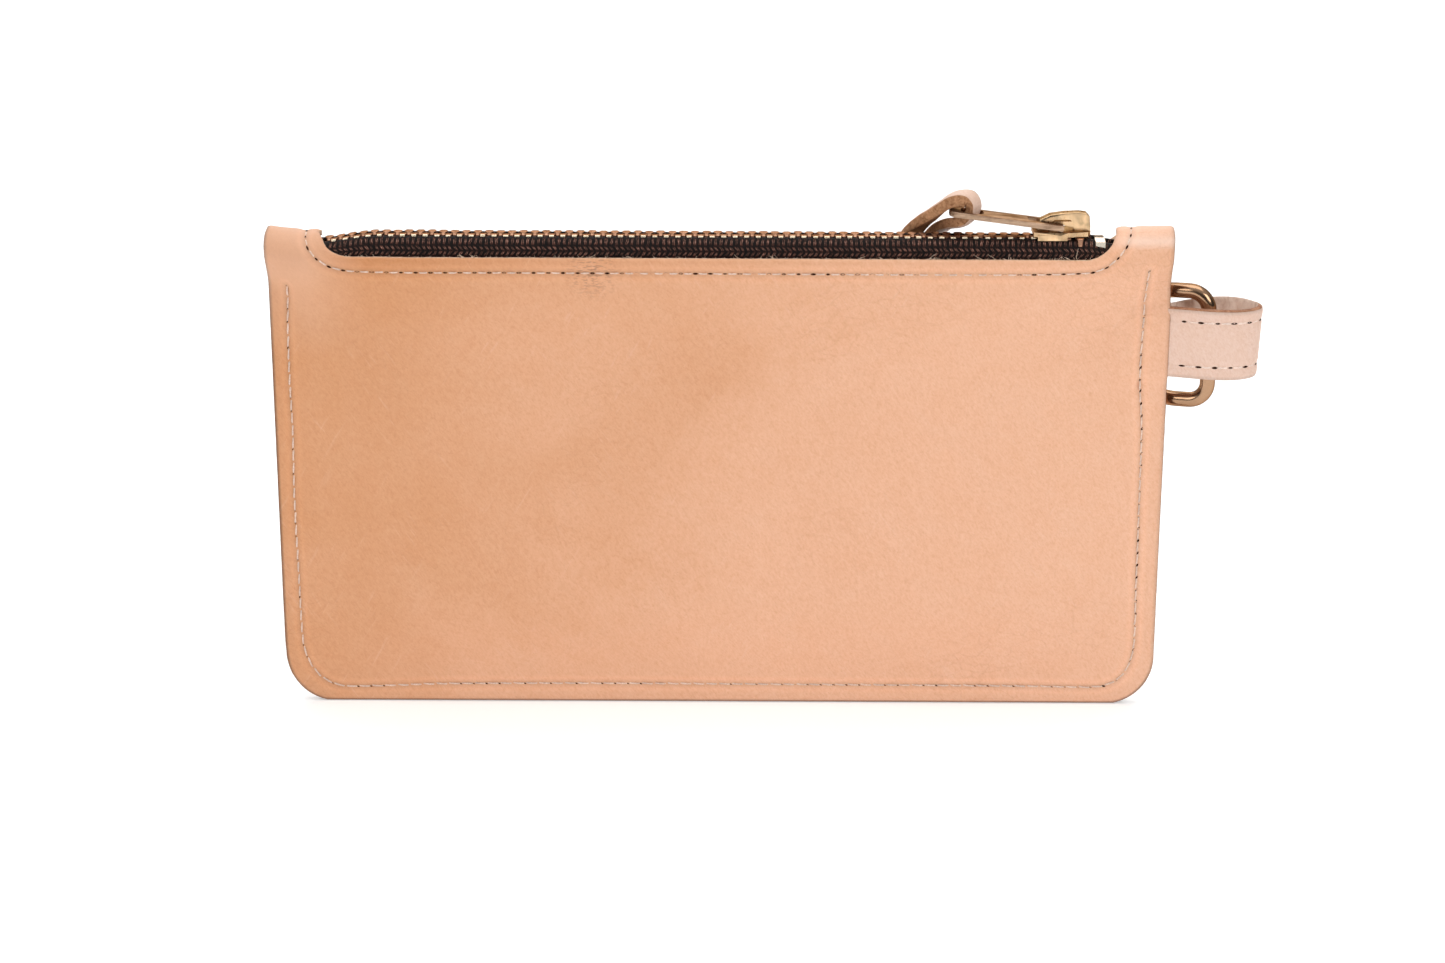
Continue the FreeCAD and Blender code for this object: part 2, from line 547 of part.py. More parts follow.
def along(points, pitch, share):
    """Pairs of points along a dense line of (point, normal), one stitch each."""
    total, marks = 0.0, [0.0]
    for a, b in zip(points, points[1:]):
        total += b[0].sub(a[0]).Length
        marks.append(total)
    count = max(1, int(round(total / pitch)))
    step = total / count

    def at(t):
        t = min(max(t, 0.0), total)
        for i in range(len(marks) - 1):
            if t <= marks[i + 1] + 1e-12:
                k = (t - marks[i]) / max(1e-9, marks[i + 1] - marks[i])
                return points[i][0] + (points[i + 1][0] - points[i][0]) * k, points[i][1]
        return points[-1]
    out = []
    for i in range(count):
        p, n = at(step * (i + 0.5 - share / 2))
        q, _ = at(step * (i + 0.5 + share / 2))
        out.append((p, q, n))
    return out


def row_of(name, label, pairs):
    f = doc.addObject("Part::Feature", name)
    f.Shape = Part.makeCompound([stitch(*p) for p in pairs])
    return node(f, label)


# round the window: a rounded rectangle laid over the fold, 3.2 mm outside the window's edge
off = 3.2
sx0, sx1, sy, sr = wl - off, wr + off + 0.6, 12.95, 10.4
flat_loop = []
for cx, cy, a in ((sx1 - sr, -sy + sr, 270), (sx1 - sr, sy - sr, 0), (sx0 + sr, sy - sr, 90), (sx0 + sr, -sy + sr, 180)):
    for k in range(17):
        t = math.radians(a + 90 * k / 16.0)
        flat_loop.append((cx + sr * math.cos(t), cy + sr * math.sin(t)))
flat_loop.append(flat_loop[0])
dense = []
for (xa, ya), (xb, yb) in zip(flat_loop, flat_loop[1:]):
    n = max(1, int(math.hypot(xb - xa, yb - ya) / 1.0))
    for k in range(n):
        dense.append(skin(xa + (xb - xa) * k / n, ya + (yb - ya) * k / n))
dense.append(dense[0])
row_of("window_stitches", "window_seam_thread", along(dense, 3.33, 0.66))

# down both sides and along the bottom, front and back
pairs = []
for side in (-1, 1):
    xl, xr, zb, rr = -98.3, 98.0, 4.2, 7.6
    line = [(xl, 102.7 - k * (102.7 - zb - rr) / 60.0) for k in range(61)]
    line += [(xl + rr - rr * math.cos(math.radians(t)), zb + rr - rr * math.sin(math.radians(t))) for t in range(9, 90, 9)]
    line += [(xl + rr + k * (xr - xl - 2 * rr) / 90.0, zb) for k in range(91)]
    line += [(xr - rr + rr * math.sin(math.radians(t)), zb + rr - rr * math.cos(math.radians(t))) for t in range(9, 90, 9)]
    line += [(xr, zb + rr + k * (105.6 - zb - rr) / 60.0) for k in range(61)]
    pts = [skin_z(x, z, side) for x, z in line]
    keep = []
    for p, q, n in along(pts, 3.06, 0.74):
        in_swell = q.x > 88 and pad_low - 1.5 < q.z < pad_high + 1.5
        if in_swell:
            y = side * (tt + 1.25)
            p, q = V(p.x, y, p.z), V(q.x, y, q.z)
        keep.append((p, q, n))
    pairs += keep
row_of("side_stitches", "side_seam_thread", pairs)

# two rows on each layer of the tab
pairs = []
for z in (d["tabbottom"] + 2.9, d["tabbottom"] + d["tabwidth"] - 2.7):
    for sign, u0, u1 in ((-1, 0.03, 0.40), (1, 0.62, 0.97)):
        pts = []
        for i in range(41):
            u = a0 + (a1 - a0) * (u0 + (u1 - u0) * i / 40.0)
            p = outer_curve.value(u)
            t = outer_curve.tangent(u)[0]
            pts.append((V(p.x, p.y, z), V(t.y, -t.x, 0)))
        pairs += along(pts, 3.9, 0.74)
row_of("tab_stitches", "tab_thread", pairs)

# ---------------------------------------------------------------- check and write
doc.recompute()
bad = [o.Name for o in doc.Objects if "Invalid" in o.State or "Error" in o.State]
for o in NODES:
    s = o.Shape
    if s.isNull() or not s.isValid() or not s.Solids:
        bad.append(o.Label)
    else:
        b = s.BoundBox
        print("%-20s solids %3d volume %9.2f  x %7.2f %7.2f  y %6.2f %6.2f  z %7.2f %7.2f" %
              (o.Label, len(s.Solids), s.Volume, b.XMin, b.XMax, b.YMin, b.YMax, b.ZMin, b.ZMax))
if bad:
    print("failed:", bad)
    sys.exit(1)
os.makedirs("parts", exist_ok=True)
for o in NODES:
    o.Shape.exportStep("parts/%s.step" % o.Label)
print("wrote %d nodes" % len(NODES))
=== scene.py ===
import math
import random

import bmesh
import bpy
import numpy as np
from mathutils import Matrix, Vector, kdtree, noise
from mathutils.geometry import delaunay_2d_cdt


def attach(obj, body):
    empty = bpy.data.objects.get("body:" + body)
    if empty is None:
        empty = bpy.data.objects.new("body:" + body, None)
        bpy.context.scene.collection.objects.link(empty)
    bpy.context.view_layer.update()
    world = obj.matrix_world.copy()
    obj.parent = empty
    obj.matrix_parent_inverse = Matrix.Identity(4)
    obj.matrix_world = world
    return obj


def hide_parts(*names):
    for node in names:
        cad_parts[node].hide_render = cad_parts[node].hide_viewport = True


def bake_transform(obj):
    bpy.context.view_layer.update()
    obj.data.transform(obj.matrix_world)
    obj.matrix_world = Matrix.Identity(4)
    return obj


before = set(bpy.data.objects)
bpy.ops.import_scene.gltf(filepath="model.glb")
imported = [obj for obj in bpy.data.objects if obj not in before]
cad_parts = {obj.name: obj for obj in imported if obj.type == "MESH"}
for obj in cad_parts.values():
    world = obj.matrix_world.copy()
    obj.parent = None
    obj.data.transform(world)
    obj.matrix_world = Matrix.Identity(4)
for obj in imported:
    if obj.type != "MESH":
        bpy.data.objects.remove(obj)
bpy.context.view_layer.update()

# Looks of the zippered pouch. Lengths in the helper functions are millimetres where a name ends in _mm or a comment says so,
# and every mesh is written in metres in the row frame.
MM = 0.001
scene = bpy.context.scene
scene.view_settings.view_transform = "Standard"
scene.view_settings.look = "None"
scene.view_settings.exposure = 0.0
scene.view_settings.gamma = 1.0
rng = random.Random(7)


def link(obj):
    scene.collection.objects.link(obj)
    return obj


# ---------------------------------------------------------------- camera
camera_data = bpy.data.cameras.new("camera")
camera_data.lens = 75.0
camera_data.sensor_width = 36.0
camera_data.clip_start = 0.01
camera = link(bpy.data.objects.new("camera", camera_data))
eye = Vector((0.00063, -0.66556, 0.28197))
aim = Vector((0.00063, 0.0, 0.05528))
camera.matrix_world = (Matrix.Translation(eye) @ (aim - eye).to_track_quat("-Z", "Y").to_matrix().to_4x4()
                       @ Matrix.Rotation(math.radians(0.25), 4, "Z"))
scene.camera = camera


# ---------------------------------------------------------------- node materials
class Graph:
    """A material and short ways to add nodes to it."""

    def __init__(self, name):
        self.material = bpy.data.materials.new(name)
        self.material.use_nodes = True
        self.tree = self.material.node_tree
        self.tree.nodes.clear()
        self.out = self.tree.nodes.new("ShaderNodeOutputMaterial")
        self.shader = self.tree.nodes.new("ShaderNodeBsdfPrincipled")
        self.tree.links.new(self.shader.outputs[0], self.out.inputs["Surface"])

    def put(self, socket, value):
        if isinstance(value, bpy.types.NodeSocket):
            self.tree.links.new(value, socket)
        elif value is not None:
            socket.default_value = value

    def add(self, kind, settings=None, **inputs):
        node = self.tree.nodes.new(kind)
        for key, value in (settings or {}).items():
            setattr(node, key, value)
        for key, value in inputs.items():
            self.put(node.inputs[key.replace("_", " ")], value)
        return node

    def coords(self, scale=(1, 1, 1), rotate=(0, 0, 0), move=(0, 0, 0)):
        tc = self.add("ShaderNodeTexCoord")
        mp = self.add("ShaderNodeMapping", Vector=tc.outputs["Object"])
        mp.inputs["Scale"].default_value = scale
        mp.inputs["Rotation"].default_value = rotate
        mp.inputs["Location"].default_value = move
        return mp.outputs[0]

    def aslant(self, degrees, scale):
        """Coordinates turned about y, then stretched, so that marks lie along one slope."""
        turned = self.coords(rotate=(0, math.radians(degrees), 0))
        stretched = self.add("ShaderNodeMapping", None, Vector=turned)
        stretched.inputs["Scale"].default_value = scale
        return stretched.outputs[0]

    def noise(self, vector, scale, detail=3.0, rough=0.5, distortion=0.0):
        return self.add("ShaderNodeTexNoise", None, Vector=vector, Scale=scale, Detail=detail, Roughness=rough, Distortion=distortion).outputs["Fac"]

    def voronoi(self, vector, scale, feature="F1", randomness=1.0, out="Distance"):
        return self.add("ShaderNodeTexVoronoi", {"feature": feature}, Vector=vector, Scale=scale, Randomness=randomness).outputs[out]

    def ramp(self, fac, stops, interpolation="LINEAR"):
        node = self.add("ShaderNodeValToRGB", None, Fac=fac)
        node.color_ramp.interpolation = interpolation
        el = node.color_ramp.elements
        while len(el) < len(stops):
            el.new(0.5)
        for e, (pos, col) in zip(el, stops):
            e.position = pos
            e.color = (*col, 1.0) if hasattr(col, "__len__") else (col, col, col, 1.0)
        return node.outputs["Color"]

    def math(self, op, a, b=None, c=None, clamp=False):
        node = self.add("ShaderNodeMath", {"operation": op, "use_clamp": clamp})
        for i, v in enumerate((a, b, c)):
            self.put(node.inputs[i], v)
        return node.outputs[0]

    def mix(self, fac, a, b, blend="MIX"):
        node = self.add("ShaderNodeMix", {"data_type": "RGBA", "blend_type": blend})
        self.put(node.inputs[0], fac)
        for i, v in ((6, a), (7, b)):
            if hasattr(v, "__len__") and not isinstance(v, bpy.types.NodeSocket):
                v = (*v[:3], 1.0)
            elif isinstance(v, (int, float)):
                v = (v, v, v, 1.0)
            self.put(node.inputs[i], v)
        return node.outputs[2]

    def attribute(self, name):
        return self.add("ShaderNodeAttribute", {"attribute_name": name}).outputs["Fac"]

    def bump(self, height, distance, strength=1.0, normal=None):
        return self.add("ShaderNodeBump", None, Height=height, Distance=distance, Strength=strength, Normal=normal).outputs[0]

    def surface(self, color=None, rough=None, normal=None, **fixed):
        self.put(self.shader.inputs["Base Color"], color if isinstance(color, bpy.types.NodeSocket) or color is None else (*color, 1.0))
        self.put(self.shader.inputs["Roughness"], rough)
        self.put(self.shader.inputs["Normal"], normal)
        for key, value in fixed.items():
            socket = self.shader.inputs[key.replace("_", " ")]
            socket.default_value = value
        return self.material


def lin(r, g, b):
    """sRGB 0-255 to linear."""
    return tuple((v / 255 / 12.92) if v / 255 <= 0.04045 else ((v / 255 + 0.055) / 1.055) ** 2.4 for v in (r, g, b))


def times(color, k):
    return tuple(c * k for c in color)


# ---------------------------------------------------------------- the leather's materials
def grain_leather(name, dark, pale, field, edge, seam_light=True, rough=0.5, mottle=1.0):
    """Smooth vegetable-tanned grain: broad tone changes, fine specks, short creases, a burnished rim and a pressed band
    by the seams; on the main panel also painted shade to the left and along the left and bottom rims, and a painted
    highlight on the fold.
    """
    g = Graph(name)
    co = g.coords()
    broad = g.noise(co, 17.0, 3.0, 0.55, 0.6)
    x = g.add("ShaderNodeSeparateXYZ", None, Vector=co).outputs[0]
    # with field set, tone runs from darker at the left to paler at the right: painted shade across the panel; lower
    # makes it paler towards the bottom
    side = g.math("MULTIPLY_ADD", x, field, 0.5)
    lower = g.math("MULTIPLY", g.math("SUBTRACT", 0.075, g.add("ShaderNodeSeparateXYZ", None, Vector=co).outputs[2]), 2.1 if field else 0.0)
    tone = g.math("ADD", g.math("MULTIPLY", g.math("SUBTRACT", broad, 0.5), 0.55), g.math("ADD", side, lower), clamp=True)
    base = g.ramp(tone, [(0.05, dark), (0.30, times_mix(dark, pale, 0.34)), (0.5, times_mix(dark, pale, 0.72)), (0.66, times_mix(dark, pale, 0.92)), (0.95, pale)])
    mid = g.noise(co, 120.0, 4.0, 0.62, 0.4)
    base = g.mix(mottle, base, g.mix(1.0, base, g.ramp(mid, [(0.28, (0.985, 0.965, 0.935)), (0.5, (0.997, 0.992, 0.985)), (0.72, (1.0, 1.015, 1.03))]), "MULTIPLY"))
    # specks and short fibres of the grain, lying aslant
    slant = g.aslant(35, (1.15, 1.0, 0.55))
    fine = g.noise(slant, 2400.0, 2.0, 0.7)
    base = g.mix(1.0, base, g.ramp(fine, [(0.30, (0.945, 0.905, 0.865)), (0.5, 1.0), (0.72, (1.03, 1.06, 1.09))]), "MULTIPLY")
    pebble = g.noise(slant, 1250.0, 3.0, 0.7, 0.3)
    base = g.mix(1.0, base, g.ramp(pebble, [(0.28, (0.955, 0.925, 0.89)), (0.5, 1.0), (0.72, (1.02, 1.045, 1.07))]), "MULTIPLY")
    lump = g.noise(co, 480.0, 2.0, 0.6)
    base = g.mix(1.0, base, g.ramp(lump, [(0.30, (0.992, 0.982, 0.97)), (0.5, 1.0), (0.70, (1.003, 1.01, 1.015))]), "MULTIPLY")
    # pale hair-fine scratches, steeply aslant and the other way in places
    for degrees, size, seed in ((35, 900.0, 0.0), (-30, 700.0, 3.0)):
        hair = g.noise(g.aslant(degrees, (1.6, 1.0, 0.12)), size, 2.0, 0.6)
        here = g.ramp(g.noise(g.coords(move=(seed, 0, 0)), 55.0, 2.0), [(0.45, 0.0), (0.62, 1.0)])
        base = g.mix(g.math("MULTIPLY", g.math("MULTIPLY", g.ramp(hair, [(0.62, 0.0), (0.70, 1.0)]), here), 0.13), base, times_mix(pale, (1.0, 1.0, 1.0), 0.25))
    pores = g.voronoi(co, 900.0)
    pore_mask = g.ramp(g.noise(co, 60.0, 2.0), [(0.42, 0.0), (0.62, 1.0)])
    pore = g.math("MULTIPLY", g.ramp(pores, [(0.05, 1.0), (0.16, 0.0)]), pore_mask)
    base = g.mix(g.math("MULTIPLY", pore, 0.22), base, times(dark, 0.62))
    # creases: thin wandering lines, in patches
    wander = g.noise(co, 45.0, 2.0, 0.5)
    bent = g.add("ShaderNodeVectorMath", {"operation": "ADD"})
    g.put(bent.inputs[0], co)
    warp = g.add("ShaderNodeVectorMath", {"operation": "SCALE"})
    g.put(warp.inputs[0], g.add("ShaderNodeTexNoise", None, Vector=co, Scale=70.0, Detail=3.0).outputs["Color"])
    warp.inputs["Scale"].default_value = 0.011
    g.put(bent.inputs[1], warp.outputs[0])
    squashed = g.add("ShaderNodeMapping", None, Vector=bent.outputs[0])
    squashed.inputs["Scale"].default_value = (0.55, 1.0, 1.25)
    squashed.inputs["Rotation"].default_value = (0, math.radians(-24), 0)
    net = g.voronoi(squashed.outputs[0], 260.0, "DISTANCE_TO_EDGE")
    line = g.ramp(net, [(0.0, 1.0), (0.045, 0.0)])
    patch = g.ramp(g.noise(co, 26.0, 2.0, 0.5), [(0.48, 0.0), (0.66, 1.0)])
    crease = g.math("MULTIPLY", line, patch)
    base = g.mix(g.math("MULTIPLY", crease, 0.12), base, times(dark, 0.8))
    # rim and seams
    if edge:
        rim = g.attribute("edge_mm")
        band = g.ramp(g.math("DIVIDE", rim, 3.0), [(0.0, 0.70), (0.12, 0.84), (0.30, 0.97), (1.0, 1.0)])
        base = g.mix(1.0, base, band, "MULTIPLY")
        if field:
            zz = g.add("ShaderNodeSeparateXYZ", None, Vector=co).outputs[2]
            # painted shade: the rim along the left and bottom edges is darkened, standing for the shade where the
            # rounded edge turns away from the light
            left = g.ramp(g.math("MULTIPLY_ADD", x, -10.0, 0.0), [(0.8, 0.0), (0.95, 1.0)])
            low = g.ramp(g.math("MULTIPLY", zz, 20.0), [(0.12, 1.0), (0.25, 0.0)])
            rim_shade = g.math("MULTIPLY", g.math("MAXIMUM", left, low), g.ramp(g.math("DIVIDE", rim, 1.2), [(0.15, 1.0), (0.55, 0.0)]))
            base = g.mix(g.math("MULTIPLY", rim_shade, 0.62), base, lin(98, 60, 36))
            strip = g.ramp(g.math("MULTIPLY", zz, 8.0), [(0.845, 0.0), (0.875, 1.0), (0.915, 1.0), (0.945, 0.0)])
            wash = g.ramp(g.math("MULTIPLY_ADD", x, 5.0, 0.5), [(0.0, 1.0), (0.75, 0.25)])
            base = g.mix(g.math("MULTIPLY", g.math("MULTIPLY", strip, wash), 0.75), base, g.mix(1.0, base, (0.90, 0.82, 0.72), "MULTIPLY"))
            # painted highlight: a pale band along the fold at the right end, standing for the glare of the light on it
            fold_glare_painted = g.math("MULTIPLY", g.ramp(g.math("MULTIPLY", zz, 8.0), [(0.902, 0.0), (0.916, 1.0), (0.928, 0.25), (0.94, 0.4)]),
                               g.ramp(g.math("MULTIPLY", x, 10.0), [(0.86, 0.0), (0.94, 1.0)]))
            base = g.mix(g.math("MULTIPLY", fold_glare_painted, 0.40), base, lin(255, 238, 228))
            # and a paler patch at the upper left corner
            corner = g.math("MULTIPLY", g.ramp(g.math("MULTIPLY", zz, 8.0), [(0.68, 0.0), (0.88, 1.0)]), g.ramp(g.math("MULTIPLY", x, -10.0), [(0.80, 0.0), (0.94, 1.0)]))
            base = g.mix(g.math("MULTIPLY", corner, 0.42), base, lin(240, 200, 176))
            # a handled smudge under the middle of the window
            away = g.add("ShaderNodeVectorMath", {"operation": "DISTANCE"})
            g.put(away.inputs[0], co)
            away.inputs[1].default_value = (-0.029, -0.0072, 0.1075)
            smear = g.ramp(g.math("MULTIPLY", away.outputs["Value"], 100.0), [(0.1, 1.0), (0.75, 0.0)])
            flecks = g.ramp(g.noise(g.coords(scale=(0.5, 1, 1.6)), 1300.0, 3.0, 0.7), [(0.5, 0.0), (0.6, 1.0)])
            base = g.mix(g.math("MULTIPLY", g.math("MULTIPLY", smear, flecks), 0.5), base, lin(120, 80, 54))
    if seam_light:
        seam = g.attribute("seam_mm")
        pressed = g.ramp(g.math("DIVIDE", seam, 4.0), [(0.0, 0.82), (0.10, 0.92), (0.2, 1.0), (0.34, 1.055), (0.6, 1.0)])
        base = g.mix(1.0, base, pressed, "MULTIPLY")
    cell = g.voronoi(slant, 1150.0)
    height = g.math("ADD", g.math("MULTIPLY", cell, 0.55), g.math("MULTIPLY", fine, 0.4))
    height = g.math("SUBTRACT", height, g.math("MULTIPLY", crease, 0.8))
    height = g.math("ADD", height, g.math("MULTIPLY", mid, 0.7))
    bump = g.bump(height, 0.00011, 0.55)
    roughness = g.math("ADD", g.math("MULTIPLY", mid, 0.22), rough - 0.11)
    return g.surface(base, roughness, bump, Specular_IOR_Level=0.42)


def times_mix(a, b, k):
    return tuple(p + (q - p) * k for p, q in zip(a, b))


TAN, PINK = lin(208, 145, 96), lin(236, 184, 152)
leather_grain = grain_leather("leather_grain", TAN, PINK, 3.6, True)


def fibrous(name, dark, pale, scale=600.0, rough=0.85, stretch=(1, 1, 1), depth=0.00012):
    """Cut edges and flesh sides: matt, fibrous, uneven."""
    g = Graph(name)
    co = g.coords(scale=stretch)
    a = g.noise(co, scale, 4.0, 0.7, 0.5)
    b = g.noise(co, scale * 0.12, 3.0, 0.6)
    base = g.ramp(a, [(0.3, dark), (0.52, times_mix(dark, pale, 0.6)), (0.72, pale)])
    base = g.mix(1.0, base, g.ramp(b, [(0.3, 0.8), (0.7, 1.12)]), "MULTIPLY")
    return g.surface(base, rough, g.bump(a, depth, 0.8), Specular_IOR_Level=0.25)


leather_edge = fibrous("leather_edge", lin(66, 38, 24), lin(138, 92, 62), 900.0, 0.6, (1, 1, 1), 0.00008)
window_rim = fibrous("leather_window_rim", lin(170, 124, 92), lin(232, 200, 172), 1500.0, 0.9, (1, 1, 1), 0.00012)
leather_flesh = fibrous("leather_flesh", lin(150, 106, 76), lin(206, 160, 124), 420.0, 0.92)


# ---------------------------------------------------------------- the folded panel as a surface
# A point of the outer leather is (x, t): x along the zipper and t round the fold from its top, negative at the front, in mm.
ARC = 7.0 * math.pi / 2
FLAT = 109.5
TMAX = ARC + FLAT
LEATHER = 1.4


def ease(k):
    k = np.clip(k, 0.0, 1.0)
    return k * k * (3 - 2 * k)


def body_point(x, t):
    x, t = np.asarray(x, float), np.asarray(t, float)
    ax, at, side = np.abs(x), np.abs(t), np.where(t < 0, -1.0, 1.0)
    k, e = ease((ax - 66.0) / 31.0), ease((ax - 94.0) / 9.0)
    half = 4.4 + (1.75 - 4.4) * k
    half = half + (1.4 - half) * e
    r = 7.0 - 0.4 * k
    r = r + (5.5 - r) * e
    zc = 116.5 - r
    top = np.interp(x, [-103, -99, -95, -91, -86, -78, 82, 88, 94, 103], [116.15, 115.55, 115.1, 115.2, 115.4, 116.5, 116.5, 116.45, 116.7, 116.95])
    z3 = 80.0 + 15.0 * k + 7.0 * e
    a = np.minimum(at, ARC) / 7.0
    y_fold, z_fold = r * np.sin(a), zc + (top - zc) * np.cos(a)
    z = zc * (1 - (at - ARC) / FLAT)
    y = half + (r - half) * ease((z - z3) / (zc - z3))
    y = y + (1.4 - y) * ease((25.0 - z) / 19.5)
    fold = at <= ARC
    y, z = np.where(fold, y_fold, y), np.where(fold, z_fold, z)
    zz = np.clip(z, 0, 118)
    left = np.interp(zz, [0, 5, 10, 15, 25, 106, 113, 115.2, 116.2, 117], [0.35, 0.4, 0.3, 0.05, 0.0, -0.05, -0.2, -0.15, 0.1, 0.4])
    right = np.interp(zz, [0, 15, 30, 45, 75, 85, 99, 108, 113, 117], [0.3, 0.2, 0.12, 0.05, -0.05, -0.2, -0.25, -0.6, -0.5, -0.25])
    x = x + left * ease((-x - 60) / 43.0) + right * ease((x - 60) / 43.0)
    swell = 1.15 * ease((x - 87.0) / 5.0) * ease((z - 79.2) / 3.6) * ease((99.8 - z) / 3.6)
    y = y + swell
    return np.stack([x, side * y, z], axis=-1)


def body_normal(x, t):
    h = 0.05
    x, t = np.asarray(x, float), np.asarray(t, float)
    dx = body_point(x + h, t) - body_point(x - h, t)
    dt = body_point(x, t + h) - body_point(x, t - h)
    n = np.cross(dx, dt)
    n /= np.maximum(1e-9, np.linalg.norm(n, axis=-1, keepdims=True))
    return n


def smooth_line(points, step, closed=False):
    """Catmull-Rom through plan points, then even steps."""
    pts = [np.array(p, float) for p in points]
    n = len(pts)
    dense = []
    for i in range(n if closed else n - 1):
        p0 = pts[(i - 1) % n] if closed or i > 0 else pts[0] * 2 - pts[1]
        p1, p2 = pts[i % n], pts[(i + 1) % n]
        p3 = pts[(i + 2) % n] if closed or i + 2 < n else p2 * 2 - p1
        for k in range(12):
            u = k / 12
            dense.append(0.5 * (2 * p1 + (p2 - p0) * u + (2 * p0 - 5 * p1 + 4 * p2 - p3) * u * u + (3 * p1 - p0 - 3 * p2 + p3) * u ** 3))
    dense.append(pts[0] if closed else pts[-1])
    dense = np.array(dense)
    seg = np.linalg.norm(np.diff(dense, axis=0), axis=1)
    run = np.concatenate([[0], np.cumsum(seg)])
    count = max(2, int(round(run[-1] / step)))
    at = np.linspace(0, run[-1], count + 1)
    out = np.stack([np.interp(at, run, dense[:, 0]), np.interp(at, run, dense[:, 1])], axis=-1)
    return out[:-1] if closed else out


# the window's edge and the seam round it, front half, left to right, then mirrored for the back
window_front = [(-91.05, -0.0), (-90.8, -1.9), (-90.05, -4.1), (-89.3, -6.4), (-88.1, -8.1), (-86.7, -9.15), (-85.1, -9.75), (-83.0, -10.0),
                (-68.0, -9.95), (-36.0, -9.9), (-5.0, -9.9), (20.0, -9.9), (40.0, -9.92), (60.0, -9.93), (72.0, -9.95), (81.0, -10.2), (83.8, -10.15),
                (85.6, -9.45), (86.9, -8.55), (88.4, -6.95), (89.2, -5.1), (89.8, -2.6), (90.0, -0.0)]
seam_front = [(-93.95, -0.0), (-93.9, -2.4), (-93.4, -6.6), (-91.1, -10.8), (-88.2, -12.65), (-85.2, -13.35), (-82.0, -13.5), (-50.0, -13.35),
              (-5.0, -13.37), (40.0, -13.4), (72.0, -13.32), (83.6, -13.15), (87.2, -12.2), (89.8, -10.05), (92.0, -7.15), (93.2, -2.7), (93.4, 0.0)]


def both_sides(front):
    """The rear half of the loop mirrors the front, but runs on a little at the closed end."""
    return front + [(x + (2.4 * float(ease((x - 80.0) / 8.0)) - 3.4 * float(ease((-x - 80.0) / 9.0))) * float(ease((-t - 1.6) / 3.0)), -t) for x, t in front[-2:0:-1]]


window_loop = smooth_line(both_sides(window_front), 0.8, True)
seam_loop = smooth_line(both_sides(seam_front), 0.5, True)
perimeter = [(-98.75, -18.6), (-98.75, -21.4), (-99.1, -29.5), (-99.2, -41.5), (-99.0, -53.0), (-99.3, -70.0), (-99.05, -90.0), (-98.9, -103.5), (-98.3, -108.8),
             (-96.6, -112.6), (-94.2, -115.0), (-91.0, -116.5), (-87.5, -116.75), (-76.0, -116.4), (-64.0, -115.95), (-28.4, -115.7), (19.3, -115.8), (67.0, -115.95),
             (86.0, -116.2), (90.6, -116.0), (93.8, -114.9), (96.3, -112.4), (97.7, -109.0), (98.3, -104.0), (98.1, -92.0), (98.0, -79.0), (97.8, -60.0), (97.6, -51.0),
             (96.75, -41.0), (96.6, -34.8), (96.8, -27.8), (97.1, -19.6), (97.5, -13.4)]
seam_side_front = smooth_line(perimeter, 0.5)
seam_side_rear = seam_side_front * np.array([1.0, -1.0])

# outline of the panel in plan, with the bottom corners rounded
CR = 11.5


def corner_arc(cx, ct, a0, a1):
    out = []
    n = 15
    for k in range(n + 1):
        a = math.radians(a0 + (a1 - a0) * k / n)
        out.append((cx + CR * math.cos(a), ct + CR * math.sin(a)))
    return out


def straight(a, b, step):
    a, b = np.array(a, float), np.array(b, float)
    n = max(1, int(round(np.linalg.norm(b - a) / step)))
    return [tuple(a + (b - a) * k / n) for k in range(1, n)]


c0 = corner_arc(103 - CR, -TMAX + CR, -90, 0)
c1 = corner_arc(103 - CR, TMAX - CR, 0, 90)
c2 = corner_arc(-103 + CR, TMAX - CR, 90, 180)
c3 = corner_arc(-103 + CR, -TMAX + CR, 180, 270)
outline = c0 + straight(c0[-1], c1[0], 1.2) + c1 + straight(c1[-1], c2[0], 1.6) + c2 + straight(c2[-1], c3[0], 1.2) + c3 + straight(c3[-1], c0[0], 1.6)
outline = np.array(outline)


def tree_of(points):
    tree = kdtree.KDTree(len(points))
    for i, p in enumerate(points):
        tree.insert((p[0], p[1], 0), i)
    tree.balance()
    return tree


def densify(loop, closed, step=0.3):
    pts = list(loop) + ([loop[0]] if closed else [])
    out = []
    for a, b in zip(pts, pts[1:]):
        n = max(1, int(np.linalg.norm(np.array(b) - np.array(a)) / step))
        out += [np.array(a) + (np.array(b) - np.array(a)) * k / n for k in range(n)]
    return np.array(out)


edge_tree = tree_of(densify(outline, True, 0.4))
window_tree = tree_of(densify(window_loop, True, 0.4))
seam_points = np.concatenate([seam_loop, seam_side_front, seam_side_rear])
seam_tree = tree_of(seam_points)


def inside(points, loop):
    x, t = points[:, 0], points[:, 1]
    hit = np.zeros(len(points), bool)
    xs, ts = loop[:, 0], loop[:, 1]
    for i in range(len(loop)):
        x1, t1, x2, t2 = xs[i - 1], ts[i - 1], xs[i], ts[i]
        if t1 == t2:
            continue
        cross = ((t1 > t) != (t2 > t)) & (x < (x2 - x1) * (t - t1) / (t2 - t1) + x1)
        hit ^= cross
    return hit


def near(tree, p):
    return tree.find((p[0], p[1], 0))[2]


